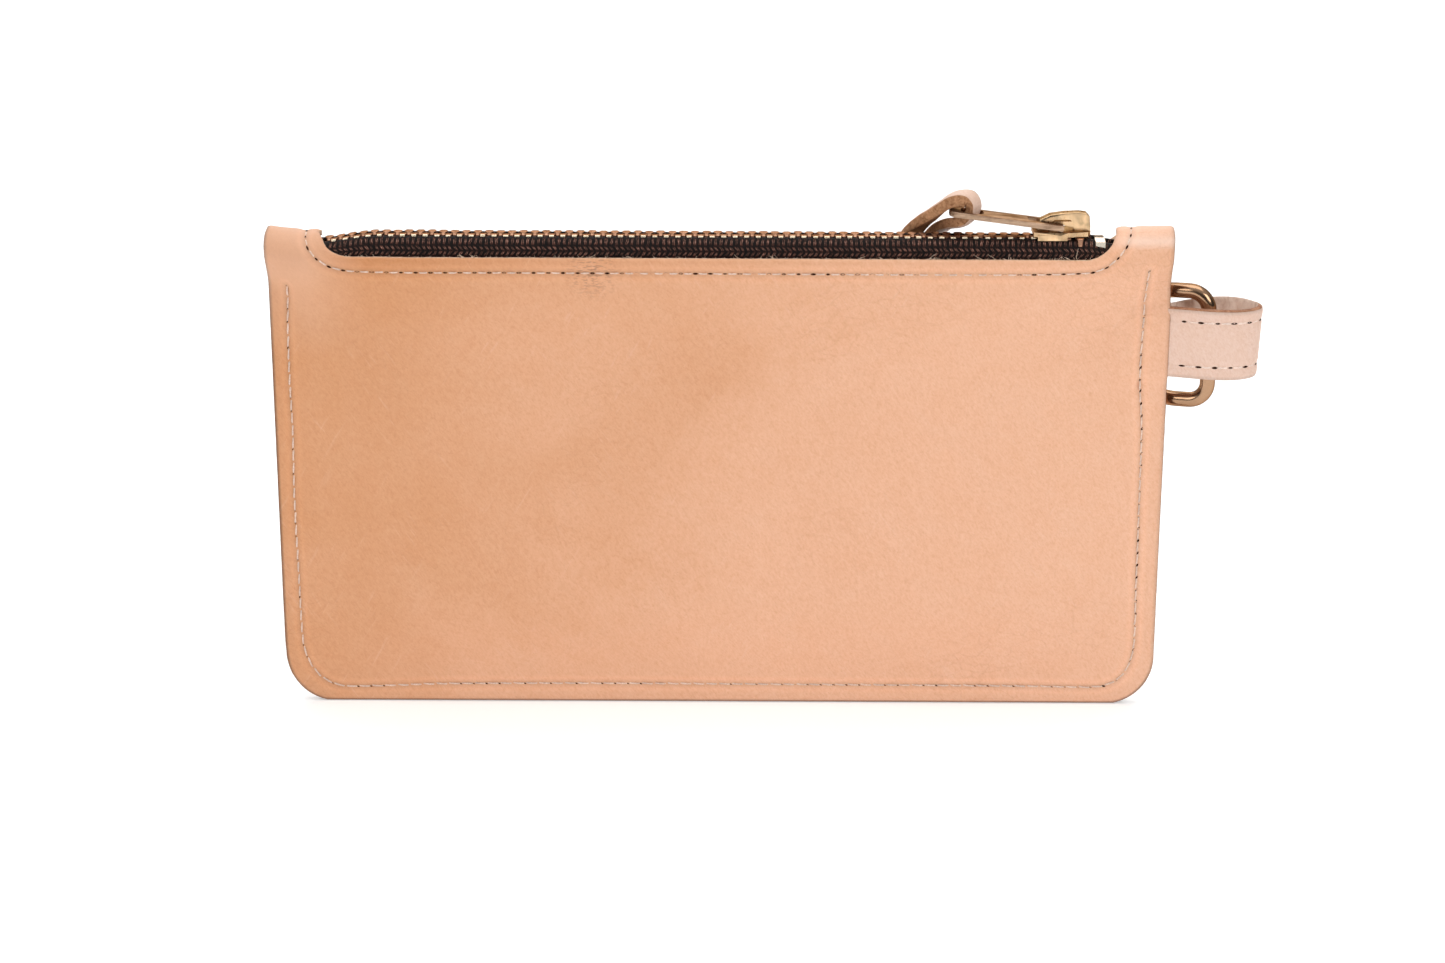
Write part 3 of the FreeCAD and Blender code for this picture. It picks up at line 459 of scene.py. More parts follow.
cloud = []
fine, coarse = 0.95, 2.6
row = 0
t = -TMAX + 0.5
while t < TMAX - 0.4:
    off = (row % 2) * coarse / 2
    for x in np.arange(-102.4 + off, 102.5, coarse):
        cloud.append((x, t, 0))
    t += coarse * 0.866
    row += 1
row = 0
t = -TMAX + 0.5
while t < TMAX - 0.4:
    off = (row % 2) * fine / 2
    for x in np.arange(-102.4 + off, 102.5, fine):
        if abs(t) < 19 or abs(x) > 92 or abs(t) > TMAX - 9:
            cloud.append((x, t, 1))
    t += fine * 0.866
    row += 1
cloud = np.array(cloud)
keep = inside(cloud, outline) & ~inside(cloud, window_loop)
cloud = cloud[keep]
picked = []
for x, t, kind in cloud:
    p = (x, t)
    ds = near(seam_tree, p)
    dw = near(window_tree, p)
    de = near(edge_tree, p)
    if min(dw, de) < 0.55:
        continue
    close = ds < 2.6 or dw < 2.2 or de < 1.6
    if (kind == 1) == close:
        picked.append(p)
verts2 = [Vector(p) for p in outline] + [Vector(p) for p in window_loop]
n_out, n_win = len(outline), len(window_loop)
edges2 = [(i, (i + 1) % n_out) for i in range(n_out)] + [(n_out + i, n_out + (i + 1) % n_win) for i in range(n_win)]
verts2 += [Vector(p) for p in picked]
flat_verts, flat_edges, flat_faces, orig_v, _, _ = delaunay_2d_cdt(verts2, edges2, [], 0, 1e-6, True)
flat = np.array([(v.x, v.y) for v in flat_verts])
tris = np.array([f for f in flat_faces if len(f) == 3])
mids = flat[tris].mean(axis=1)
good = inside(mids, outline) & ~inside(mids, window_loop)
tris = tris[good]
a, b, c = flat[tris[:, 0]], flat[tris[:, 1]], flat[tris[:, 2]]
area = (b[:, 0] - a[:, 0]) * (c[:, 1] - a[:, 1]) - (b[:, 1] - a[:, 1]) * (c[:, 0] - a[:, 0])
tris[area < 0] = tris[area < 0][:, ::-1]
index_of = {}
for i, src in enumerate(orig_v):
    for s in src:
        index_of[s] = i

# displacement: gentle waves of the hide, the pull of the seams, rounded rims
seam_d = np.array([near(seam_tree, p) for p in flat])
edge_d = np.array([near(edge_tree, p) for p in flat])
win_d = np.array([near(window_tree, p) for p in flat])
P = body_point(flat[:, 0], flat[:, 1])
N = body_normal(flat[:, 0], flat[:, 1])
wave = np.array([noise.noise(Vector((p[0] * 0.021 + 3.1, p[1] * 0.05, p[2] * 0.026))) for p in P])
wave2 = np.array([noise.noise(Vector((p[0] * 0.075, p[1] * 0.2 + 9.0, p[2] * 0.07 + 4.0))) for p in P])
calm = ease((np.minimum(np.minimum(edge_d, seam_d + 1.0), win_d + 3.0)) / 14.0)
lift = 0.42 * wave * calm + 0.10 * wave2 * ease((edge_d - 1.0) / 6.0)
lift += -0.26 * np.exp(-(seam_d / 0.75) ** 2) + 0.07 * np.exp(-((seam_d - 2.0) / 1.1) ** 2)
outer_pts = P + N * lift[:, None]
inner_pts = P - N * (LEATHER - 0.02) + N * (lift * ease((edge_d - 2.0) / 6.0) * 0.6)[:, None]
rim = np.minimum(edge_d, win_d)
outer_pts -= N * (0.22 * np.exp(-(rim / 0.38) ** 2))[:, None]

outer_pts[:, 2] = np.maximum(outer_pts[:, 2], 0.25)
inner_pts[:, 2] = np.maximum(inner_pts[:, 2], 0.25)
verts, faces, mats, edge_attr, seam_attr = [], [], [], [], []
n_flat = len(flat)
verts += list(outer_pts)
verts += list(inner_pts)
edge_attr += list(np.minimum(edge_d, win_d * 3.0 + 1.2)) + [5.0] * n_flat
seam_attr += list(seam_d) + [9.0] * n_flat
for f in tris:
    faces.append(tuple(int(i) for i in f))
    mats.append(0)
for f in tris:
    faces.append(tuple(int(i) + n_flat for i in f[::-1]))
    mats.append(2)


def add_rim(ring, outwards, material_index, bulge, fuzz):
    """Half-round rim between the outer and inner skins along a closed ring of flat indices."""
    steps = (0.2, 0.5, 0.8)
    first = len(verts)
    m = len(ring)
    for j, i in enumerate(ring):
        p, q = outer_pts[i], inner_pts[i]
        along = outer_pts[ring[(j + 1) % m]] - outer_pts[ring[j - 1]]
        out = np.cross(along, N[i]) * outwards
        out /= max(1e-9, np.linalg.norm(out))
        for s in steps:
            k = bulge * math.sin(math.pi * s) + fuzz * rng.uniform(-1, 1)
            verts.append(p + (q - p) * s + out * k)
            edge_attr.append(0.0)
            seam_attr.append(9.0)
    cols = len(steps)
    for j in range(m):
        j2 = (j + 1) % m
        chain1 = [ring[j]] + [first + j * cols + k for k in range(cols)] + [ring[j] + n_flat]
        chain2 = [ring[j2]] + [first + j2 * cols + k for k in range(cols)] + [ring[j2] + n_flat]
        for k in range(cols + 1):
            quad = (chain1[k], chain1[k + 1], chain2[k + 1], chain2[k])
            faces.append(quad if outwards > 0 else quad[::-1])
            mats.append(material_index)


add_rim([index_of[i] for i in range(n_out)], 1, 1, 0.16, 0.02)
add_rim([index_of[n_out + i] for i in range(n_win)], -1, 3, 0.10, 0.05)


def mesh_object(name, verts_mm, faces, materials, indices=None, smooth=True, attributes=None, uvs=None):
    me = bpy.data.meshes.new(name)
    me.from_pydata([Vector(v) * MM for v in verts_mm], [], faces)
    for m in materials:
        me.materials.append(m)
    if indices is not None:
        me.polygons.foreach_set("material_index", indices)
    if smooth:
        me.polygons.foreach_set("use_smooth", [True] * len(me.polygons))
    for key, values in (attributes or {}).items():
        at = me.attributes.new(key, "FLOAT", "POINT")
        at.data.foreach_set("value", np.array(values, np.float32))
    if uvs is not None:
        layer = me.uv_layers.new(name="UVMap")
        loops = np.zeros(len(me.loops), int)
        me.loops.foreach_get("vertex_index", loops)
        layer.data.foreach_set("uv", np.array(uvs, float)[loops].reshape(-1))
    me.validate(clean_customdata=False)
    me.update()
    return link(bpy.data.objects.new(name, me))


def recalc(obj):
    bm = bmesh.new()
    bm.from_mesh(obj.data)
    bmesh.ops.recalc_face_normals(bm, faces=bm.faces)
    bm.to_mesh(obj.data)
    bm.free()
    return obj


# ---------------------------------------------------------------- lace: a flat cord, first of the pieces
LACE = [(0.0442, 0.0105, 0.097), (0.0452, 0.0105, 0.102), (0.0467, 0.0103, 0.1072), (0.0485, 0.0089, 0.1122), (0.0514, 0.005, 0.1162), (0.0552, 0.001, 0.1172),
        (0.0585, 0.0, 0.1204), (0.057, 0.0, 0.12435), (0.0525, 0.0005, 0.1242), (0.0489, 0.0022, 0.1199), (0.0456, 0.0056, 0.1163), (0.0426, 0.0094, 0.1114),
        (0.0404, 0.0105, 0.104), (0.0393, 0.0103, 0.0946), (0.0399, 0.0099, 0.0854), (0.0416, 0.0095, 0.0775)]
route = bpy.data.curves.new("lace_route", "CURVE")
route.dimensions = "3D"
route.resolution_u = 12
spline = route.splines.new("NURBS")
spline.points.add(len(LACE) - 1)
for point, co in zip(spline.points, LACE):
    point.co = (*co, 1.0)
spline.order_u = 3
spline.use_endpoint_u = True
route_object = link(bpy.data.objects.new("lace_route", route))
route_mesh = bpy.data.meshes.new_from_object(route_object)
line = [v.co.copy() for v in route_mesh.vertices]
bpy.data.objects.remove(route_object)
if (line[0] - Vector(LACE[0])).length > (line[-1] - Vector(LACE[0])).length:
    line.reverse()

# along the route, point by point: the width direction of the lace, how far it reaches to the inside and the outside of the bend, and its width, mm
WIDTHS = [(1, 0, 0), (1, 0, 0), (1, 0.05, 0), (0.85, 0.5, 0), (0.35, 0.93, 0), (0.0, 1, 0), (0.12, 1, 0), (0.28, 0.94, 0.1), (0.0, 0.98, 0.2), (-0.05, 1, 0.0), (0.3, 0.95, 0), (1, 0.25, 0),
          (1, 0, 0), (1, 0, 0), (1, 0, 0), (1, 0, 0)]
INNER = [1.0, 1.0, 1.0, 1.1, 1.25, 1.3, 2.0, 3.3, 2.6, 1.45, 1.25, 1.1, 1.0, 1.0, 1.0, 1.0]
OUTER = [1.0, 1.0, 1.0, 1.1, 1.25, 1.1, 0.3, 0.3, 0.6, 1.1, 1.25, 1.1, 1.0, 1.0, 1.0, 1.0]


TWIST = [0, 0, 0, -6, -12, -18, -28, -12, 14, 24, 24, 14, 4, 0, 0, 0]


def lace_mesh():
    grain = grain_leather("lace_grain", lin(206, 164, 140), lin(232, 202, 184), 0.0, False, False, 0.55, 0.6)
    suede = fibrous("lace_suede", lin(114, 72, 44), lin(192, 140, 98), 900.0, 0.95, (1, 1, 1), 0.0001)
    cut_edge = fibrous("lace_cut_edge", lin(132, 88, 58), lin(204, 154, 114), 1200.0, 0.9, (1, 1, 1), 0.0001)
    n = len(line)
    steps = [0.0]
    for a, b in zip(line, line[1:]):
        steps.append(steps[-1] + (b - a).length)
    half_w, half_t = 2.0, 1.0
    profile = [(-0.6, 1.0), (-0.2, 1.0), (0.35, 1.0), (0.82, 0.96), (0.95, 0.78), (1.0, 0.35), (1.0, -0.35), (0.95, -0.8), (0.84, -0.97), (0.35, -1.0), (-0.35, -1.0),
               (-0.84, -0.97), (-0.95, -0.8), (-1.0, -0.35), (-1.0, 0.35), (-0.95, 0.78), (-0.82, 0.96)]
    side = [0, 0, 0, 2, 2, 2, 2, 1, 1, 1, 1, 2, 2, 2, 2, 0, 0]
    v, f, m = [], [], []
    k = len(profile)
    for i, p in enumerate(line):
        tangent = (line[min(i + 1, n - 1)] - line[max(i - 1, 0)]).normalized()
        u = i / (n - 1) * (len(WIDTHS) - 1)
        j = min(int(u), len(WIDTHS) - 2)
        w = Vector(WIDTHS[j]).lerp(Vector(WIDTHS[j + 1]), u - j)
        inn, outw = np.interp(u, range(len(INNER)), INNER), np.interp(u, range(len(OUTER)), OUTER)
        w = (w - tangent * w.dot(tangent)).normalized()
        w = Matrix.Rotation(math.radians(float(np.interp(u, range(len(TWIST)), TWIST))), 3, tangent) @ w
        up = w.cross(tangent).normalized()
        s = steps[i] * 1000
        wide = half_w * (1 + 0.05 * noise.noise(Vector((s * 0.21, 0, 5.0))))
        thick = half_t * (1 + 0.08 * noise.noise(Vector((s * 0.3, 3.0, 1.0))))
        for a, b in profile:
            cup = -0.12 * a * a
            reach = outw if b > 0 else inn
            v.append(tuple(1000 * p + w * (a * wide) + up * ((b * thick * reach) + cup)))
    for i in range(n - 1):
        for j in range(k):
            j2 = (j + 1) % k
            f.append((i * k + j, i * k + j2, (i + 1) * k + j2, (i + 1) * k + j))
            m.append(side[j])
    f.append(tuple(range(k))[::-1])
    m.append(2)
    f.append(tuple((n - 1) * k + j for j in range(k)))
    m.append(2)
    return recalc(mesh_object("lace", v, f, [grain, suede, cut_edge], m))


lace = lace_mesh()
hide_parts("pull_lace")
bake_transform(lace)

pouch = mesh_object("pouch_leather", verts, faces, [leather_grain, leather_edge, leather_flesh, window_rim], mats,
                    attributes={"edge_mm": edge_attr, "seam_mm": seam_attr})
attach(pouch, "root")
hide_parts("leather_body")


# ---------------------------------------------------------------- stitches
def thread_material(name, pale, dark):
    g = Graph(name)
    co = g.coords()
    a = g.noise(co, 3200.0, 3.0, 0.7)
    b = g.noise(co, 240.0, 2.0)
    base = g.mix(1.0, g.ramp(a, [(0.3, dark), (0.6, pale)]), g.ramp(b, [(0.3, 0.88), (0.7, 1.08)]), "MULTIPLY")
    return g.surface(base, 0.7, g.bump(a, 0.00006, 0.7), Specular_IOR_Level=0.3, Sheen_Weight=0.2)


thread_cream = thread_material("thread_cream", lin(238, 214, 198), lin(206, 172, 150))
thread_pale = thread_material("thread_pale", lin(250, 230, 218), lin(228, 196, 178))
# stitch holes: this dark material is painted shade, for the shade inside the holes
slot_dark = Graph("stitch_slot")
slot_dark_material = slot_dark.surface(slot_dark.ramp(slot_dark.noise(slot_dark.coords(), 2600.0, 2.0), [(0.35, lin(30, 15, 10)), (0.65, lin(70, 40, 26))]), 0.9,
                                       slot_dark.bump(slot_dark.noise(slot_dark.coords(), 1800.0), 0.00005, 0.6), Specular_IOR_Level=0.1)


def stitch_row(frames, share, radius, height, out, plies=2, twist=2.2, jitter=0.05, slant=0.0):
    """frames: (start point, end point, normal), mm. One two-ply stitch each, with both ends down in its holes."""
    v, f = out
    rings, around = 9, 8
    for p, q, nrm in frames:
        p, q, nrm = Vector(p), Vector(q), Vector(nrm).normalized()
        mid, axis = (p + q) / 2, (q - p)
        length = axis.length
        axis.normalize()
        across = axis.cross(nrm).normalized()
        half = length * share / 2
        turn = rng.uniform(0, 6.28)
        lean = slant + rng.uniform(-jitter, jitter)
        h = height * rng.uniform(0.85, 1.15)
        first = len(v)
        for i in range(rings):
            u = -1 + 2 * i / (rings - 1)
            rise = h * (1 - abs(u) ** 3.0) - 0.22 * abs(u) ** 5
            centre = mid + axis * (u * half) + across * (lean * u) + nrm * rise
            thin = 1.0 - 0.35 * abs(u) ** 6
            for j in range(around):
                ang = 2 * math.pi * j / around
                rr = radius * thin * (1 + 0.16 * math.cos(plies * (ang - turn - u * twist)))
                v.append(tuple(centre + across * (rr * math.cos(ang)) + nrm * (rr * math.sin(ang) * 0.85)))
        for i in range(rings - 1):
            for j in range(around):
                j2 = (j + 1) % around
                f.append((first + i * around + j, first + i * around + j2, first + (i + 1) * around + j2, first + (i + 1) * around + j))
        f.append(tuple(first + j for j in range(around))[::-1])
        f.append(tuple(first + (rings - 1) * around + j for j in range(around)))


def slot_row(places, out, long, wide, tilt=0.0):
    """places: (centre, direction, normal), mm. A pointed slot cut by the pricking iron, drawn as a small dark lens on
    the leather: painted shade standing for the inside of the hole.
    """
    v, f = out
    for p, axis, nrm in places:
        p, axis, nrm = Vector(p), Vector(axis).normalized(), Vector(nrm).normalized()
        across = axis.cross(nrm).normalized()
        if tilt:
            if p.x < 90 and rng.random() < 0.45:
                continue
            grow = 1.35 if p.x > 90 else 0.85
            axis = (axis + across * tilt).normalized()
            across = axis.cross(nrm).normalized()
            p = p + across * 0.12
        else:
            grow = 1.0
        lg, wd = grow * long * rng.uniform(0.8, 1.15), grow * wide * rng.uniform(0.8, 1.15)
        first = len(v)
        v.append(tuple(p - nrm * 0.02))
        n = 10
        for j in range(n):
            a = 2 * math.pi * j / n
            c, s = math.cos(a), math.sin(a)
            v.append(tuple(p + axis * (lg / 2 * c) + across * (wd / 2 * s * (1 - 0.35 * abs(c))) + nrm * 0.045))
        for j in range(n):
            f.append((first, first + 1 + j, first + 1 + (j + 1) % n))


def sample_row(route2, pitch, closed=False, phase=0.0):
    """Points on the leather at even steps along a plan line: (point, normal) lists."""
    pts = np.array(list(route2) + ([route2[0]] if closed else []))
    space = body_point(pts[:, 0], pts[:, 1])
    seg = np.linalg.norm(np.diff(space, axis=0), axis=1)
    run = np.concatenate([[0], np.cumsum(seg)])
    count = int(round(run[-1] / pitch))
    at = np.linspace(0, run[-1], count + 1)
    x, tt = np.interp(at, run, pts[:, 0]), np.interp(at, run, pts[:, 1])
    return body_point(x, tt), body_normal(x, tt)


def lay_seam(route2, pitch, closed, share, radius, height, thread_out, slot_out, long, wide, sink=0.20, slant=0.0):
    holes, normals = sample_row(route2, pitch, closed)
    frames, places = [], []
    for i in range(len(holes) - 1):
        n = normals[i] + normals[i + 1]
        n /= np.linalg.norm(n)
        frames.append((holes[i] - n * sink, holes[i + 1] - n * sink, n))
    last = len(holes) - (1 if closed else 0)
    for i in range(last):
        d = holes[min(i + 1, len(holes) - 1)] - holes[max(i - 1, 0)]
        places.append((holes[i] - normals[i] * sink, d, normals[i]))
    stitch_row(frames, share, radius, height, thread_out, slant=slant)
    slot_row(places, slot_out, long, wide, tilt=slant * 5)


window_thread, side_thread, slots = ([], []), ([], []), ([], [])
lay_seam(seam_loop, 3.33, True, 0.64, 0.19, 0.13, window_thread, slots, 1.12, 0.5)
for seam in (seam_side_front, seam_side_rear):
    lay_seam(seam, 3.06, False, 0.93, 0.2, 0.17, side_thread, slots, 0.8, 0.36, slant=0.1)

window_stitches = recalc(mesh_object("window_stitches", *window_thread, [thread_cream]))
side_stitches = recalc(mesh_object("side_stitches", *side_thread, [thread_cream]))
stitch_slots = mesh_object("stitch_slots", *slots, [slot_dark_material])
for piece, stands in ((window_stitches, "window_seam_thread"), (side_stitches, "side_seam_thread")):
    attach(piece, "root")
    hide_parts(stands)
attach(stitch_slots, "root")


# ---------------------------------------------------------------- zipper tapes
def tape_material():
    g = Graph("tape_weave")
    uv = g.add("ShaderNodeUVMap").outputs[0]
    sep = g.add("ShaderNodeSeparateXYZ", None, Vector=uv)
    u, v = sep.outputs[0], sep.outputs[1]
    upper = g.math("LESS_THAN", v, 3.3)
    row_h = g.math("MULTIPLY_ADD", upper, 0.85, 1.15)
    rowf = g.math("DIVIDE", g.math("SUBTRACT", v, 3.3), row_h)
    row_i = g.math("FLOOR", rowf)
    parity = g.math("MODULO", g.math("ADD", row_i, 40.0), 2.0)
    direction = g.math("MULTIPLY_ADD", parity, 2.0, -1.0)
    within = g.math("SUBTRACT", rowf, row_i)
    lean = g.math("MULTIPLY", g.math("MULTIPLY", within, direction), g.math("MULTIPLY_ADD", upper, -3.8, 4.4))
    phase = g.math("ADD", g.math("MULTIPLY", u, 6.2832 / 1.18), lean)
    phase = g.math("ADD", phase, g.math("MULTIPLY", g.math("SINE", g.math("MULTIPLY", row_i, 7.3)), 2.0))
    wob = g.noise(g.coords(), 520.0, 3.0, 0.6)
    phase = g.math("ADD", phase, g.math("MULTIPLY", wob, 5.5))
    rib = g.math("MULTIPLY_ADD", g.math("SINE", phase), 0.5, 0.5)
    cross = g.math("SINE", g.math("MULTIPLY", within, 3.1416))
    strand = g.math("MULTIPLY_ADD", g.math("SINE", g.math("MULTIPLY", phase, 3.0)), 0.38, 0.62)
    height = g.math("MULTIPLY", g.math("MULTIPLY", g.math("POWER", rib, 1.3), g.math("POWER", cross, 0.6)), strand)
    co = g.coords()
    fuzz = g.noise(co, 1500.0, 3.0, 0.7)
    # colour follows the weave's height: the yarn's own dark brown, with painted shade in the hollows and painted glints
    # on the raised yarn
    yarn_tone_and_painted_glints = g.ramp(height, [(0.08, lin(18, 6, 4)), (0.36, lin(50, 25, 19)), (0.62, lin(112, 76, 64)), (0.95, lin(206, 170, 156))])
    yarn_tone_and_painted_glints = g.mix(1.0, yarn_tone_and_painted_glints, g.ramp(fuzz, [(0.3, 0.35), (0.7, 1.65)]), "MULTIPLY")
    breaks = g.noise(g.aslant(25, (1.0, 1.0, 0.6)), 900.0, 3.0, 0.65)
    yarn_tone_and_painted_glints = g.mix(1.0, yarn_tone_and_painted_glints, g.ramp(breaks, [(0.38, 0.42), (0.5, 0.95), (0.64, 1.5)]), "MULTIPLY")
    return g.surface(yarn_tone_and_painted_glints, 0.72, g.bump(g.math("ADD", height, g.math("MULTIPLY", fuzz, 0.25)), 0.00022, 1.0), Specular_IOR_Level=0.18)


tape_weave = tape_material()


def dip(x):
    """How far the chain sinks towards its closed left end and at the right end, mm."""
    return -np.interp(-x, [77.5, 80.6, 83.1, 85.9, 88.4, 91.0, 95.0], [0.0, 0.18, 0.52, 0.95, 1.38, 1.6, 1.7]) - 1.3 * ease((x - 82.5) / 8.0)


def tape_piece(name, sign):
    line = [(-1.35, 113.85), (-1.9, 113.86), (-2.6, 113.83), (-3.3, 113.68), (-3.95, 113.2), (-4.45, 112.5), (-4.85, 111.6), (-5.08, 110.7), (-5.2, 109.6), (-5.12, 107.8), (-4.9, 106.2), (-4.6, 104.7)]
    halves = [0.55, 0.62, 0.6, 0.42, 0.26, 0.2] + [0.2] * 6
    xs = list(np.arange(-94.3, 94.31, 0.65))
    v, f, uv = [], [], []
    n = len(line)
    runs = [0.0]
    for a, b in zip(line, line[1:]):
        runs.append(runs[-1] + math.hypot(b[0] - a[0], b[1] - a[1]))
    for x in xs:
        for layer in (1, -1):
            for i, (y, z) in enumerate(line):
                a, b = line[max(i - 1, 0)], line[min(i + 1, n - 1)]
                ty, tz = b[0] - a[0], b[1] - a[1]
                ll = math.hypot(ty, tz)
                ny, nz = tz / ll, -ty / ll
                if ny > 0 or (abs(ny) < 0.3 and nz < 0):
                    ny, nz = -ny, -nz
                w = float(ease((113.9 - z) / 4.0))
                fall = float(dip(x)) * (1 - w)
                pucker = 0.07 * math.sin(2 * math.pi * x / 2.6 + (0.8 if sign < 0 else 0)) * (1 - w)
                half = halves[i]
                v.append((x, sign * (y + layer * half * ny), z + layer * half * nz + fall + pucker * 0.5))
                uv.append((x, runs[i]))
    k = 2 * n
    for i in range(len(xs) - 1):
        for j in range(n - 1):
            a, b = i * k + j, (i + 1) * k + j
            f.append((a, a + 1, b + 1, b))
            f.append((a + n, b + n, b + n + 1, a + n + 1))
        for j in (0, n - 1):
            a, b = i * k + j, (i + 1) * k + j
            f.append((a, b, b + n, a + n))
    for i in (0, len(xs) - 1):
        for j in range(n - 1):
            a = i * k + j
            f.append((a, a + n, a + n + 1, a + 1))
    return recalc(mesh_object(name, v, f, [tape_weave], uvs=uv))


for side_name, sign in (("front", 1), ("rear", -1)):
    tape = tape_piece("tape_" + side_name, sign)
    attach(tape, "root")
    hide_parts("zipper_tape_" + side_name)


# ---------------------------------------------------------------- metals
def metal(name, pale, dark, rough=0.28, streak=(1, 1, 1), amount=0.5, scale=300.0, bump=0.00003, grime=0.0, tint=(0.42, 0.30, 0.22), tarnish=0.0):
    g = Graph(name)
    co = g.coords(scale=streak)
    plain = g.coords()
    a = g.noise(co, scale, 4.0, 0.65)
    b = g.noise(plain, 90.0, 3.0, 0.5)
    base = g.ramp(a, [(0.28, dark), (0.5, times_mix(dark, pale, 0.65)), (0.68, pale)])
    base = g.mix(amount, pale, base)
    base = g.mix(1.0, base, g.ramp(b, [(0.3, 0.86), (0.7, 1.06)]), "MULTIPLY")
    if tarnish:
        base = g.mix(1.0, base, g.ramp(g.noise(plain, 300.0, 2.0, 0.5, 0.8), [(0.36, tarnish), (0.52, 0.95), (0.66, 1.1)]), "MULTIPLY")
    if grime:
        dirt = g.ramp(g.noise(plain, 520.0, 4.0, 0.7), [(0.5, 0.0), (0.75, 1.0)])
        base = g.mix(g.math("MULTIPLY", dirt, grime), base, lin(70, 44, 28))
    roughness = g.math("ADD", g.math("MULTIPLY", a, 0.25), rough - 0.1)
    return g.surface(base, roughness, g.bump(a, bump, 0.6), Metallic=1.0, Specular_Tint=(*tint, 1.0))


# teeth: the darker brass is painted shade on the tooth tops, with grime in it; the paler leg brass is a painted
# highlight on the front leg ends
teeth_brass = metal("teeth_brass", lin(196, 152, 126), lin(122, 84, 62), 0.36, amount=0.8, scale=700.0, grime=0.35)
leg_brass_painted_highlight = metal("leg_brass_painted_highlight", lin(255, 240, 214), lin(244, 206, 160), 0.34, amount=0.4, scale=600.0, tint=(0.9, 0.8, 0.7))
slider_brass = metal("slider_brass", lin(236, 202, 160), lin(190, 148, 106), 0.27, (1.0, 1.0, 0.14), 0.75, 520.0, 0.00004, tarnish=0.66)
pull_brass = metal("pull_brass", lin(214, 182, 154), lin(112, 80, 60), 0.36, (0.16, 1.0, 1.0), 1.0, 900.0, 0.00006, grime=0.35)
ring_brass = metal("ring_brass", lin(184, 148, 118), lin(140, 104, 76), 0.15, (1, 1, 1), 0.5, 120.0, 0.00002, tint=(0.22, 0.14, 0.10))
stop_brass = metal("stop_brass", lin(255, 246, 230), lin(226, 186, 150), 0.24, amount=0.25, scale=500.0)
# painted shade: dark brass for the bevelled edges of the slider and crown, standing for the dark outlines along them
bevel_shade_brass = metal("bevel_shade_brass", lin(150, 104, 66), lin(96, 62, 38), 0.34, amount=0.6, scale=500.0)


def spread(x):
    k = min(1.0, max(0.0, (x - 77.6) / 3.4))
    return 1.78 * k * k * (3 - 2 * k)


def tooth_shape():
    """One tooth in its own frame, mm: x along the chain, y from its legs (negative) to its head, z up, with a nib on
    the head.
    """
    bm = bmesh.new()
    prof = [(-2.52, -0.85), (-2.2, -1.05), (-1.0, -1.05), (-0.3, -0.72), (0.46, -0.6), (0.5, 0.5), (-0.3, 0.8), (-1.0, 1.05), (-2.1, 1.05), (-2.52, 0.95)]

    def half(y, z):
        if y > 0.2:
            return 0.42
        if y > -0.6:
            return 0.55
        return 1.19 if y > -2.0 else (0.62 if z > 0 else 0.45)
    rows = []
    for sx in (-1, 1):
        rows.append([bm.verts.new((sx * half(y, z), y, z)) for y, z in prof])
    n = len(prof)
    for i in range(n):
        j = (i + 1) % n
        bm.faces.new((rows[0][i], rows[0][j], rows[1][j], rows[1][i]))
    bm.faces.new(rows[0])
    bm.faces.new(rows[1][::-1])
    bmesh.ops.recalc_face_normals(bm, faces=bm.faces)
    edges = [e for e in bm.edges if len(e.link_faces) == 2 and e.calc_face_angle() > math.radians(26)]
    bmesh.ops.bevel(bm, geom=edges, offset=0.24, segments=3, affect="EDGES", profile=0.5, clamp_overlap=True)
    bm.verts.index_update()
    data = ([tuple(v.co) for v in bm.verts], [tuple(v.index for v in f.verts) for f in bm.faces])
    bm.free()
    return data


tooth_v, tooth_f = tooth_shape()
# faces at the leg ends take the leg brass, the painted highlight
tooth_m = [1 if sum(tooth_v[i][1] for i in f) / len(f) < -2.3 else 0 for f in tooth_f]


def teeth_piece(name, sign, first, count):
    v, f, m = [], [], []
    for k in range(count):
        x = first + 2.6 * k
        if x > 83.3:
            break
        base = len(v)
        roll = rng.uniform(-0.05, 0.05)
        z0 = 113.85 + float(dip(x)) + rng.uniform(-0.07, 0.07)
        tilt = (float(dip(x + 0.5)) - float(dip(x - 0.5)))
        grow = rng.uniform(0.94, 1.06)
        for a, b, c in tooth_v:
            v.append((x + a * grow + roll * c, sign * (b - spread(x)), z0 + c + tilt * a))
        f += [tuple(base + i for i in face) for face in tooth_f]
        m += tooth_m if x < 77.0 else [0] * len(tooth_m)
    return recalc(mesh_object(name, v, f, [teeth_brass, leg_brass_painted_highlight], m))


for side_name, sign, first, count in (("front", 1, -87.75, 67), ("rear", -1, -89.05, 67)):
    row_piece = teeth_piece("teeth_row_" + side_name, sign, first, count)
    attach(row_piece, "root")
    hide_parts("teeth_" + side_name)


def dress(node, material, bevel=0.0, segments=3, angle=35, rims=None):
    """A CAD node that stays: its material, and softened edges, their bevels in a second, darker material when one is
    given: painted shade.
    """
    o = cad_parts[node]
    o.data.materials.clear()
    o.data.materials.append(material)
    if bevel:
        m = o.modifiers.new("soft_edges", "BEVEL")
        m.width = bevel * MM
        m.segments = segments
        m.limit_method = "ANGLE"
        m.angle_limit = math.radians(angle)
        m.harden_normals = False
        if rims:
            o.data.materials.append(rims)
            m.material = 1
    return o


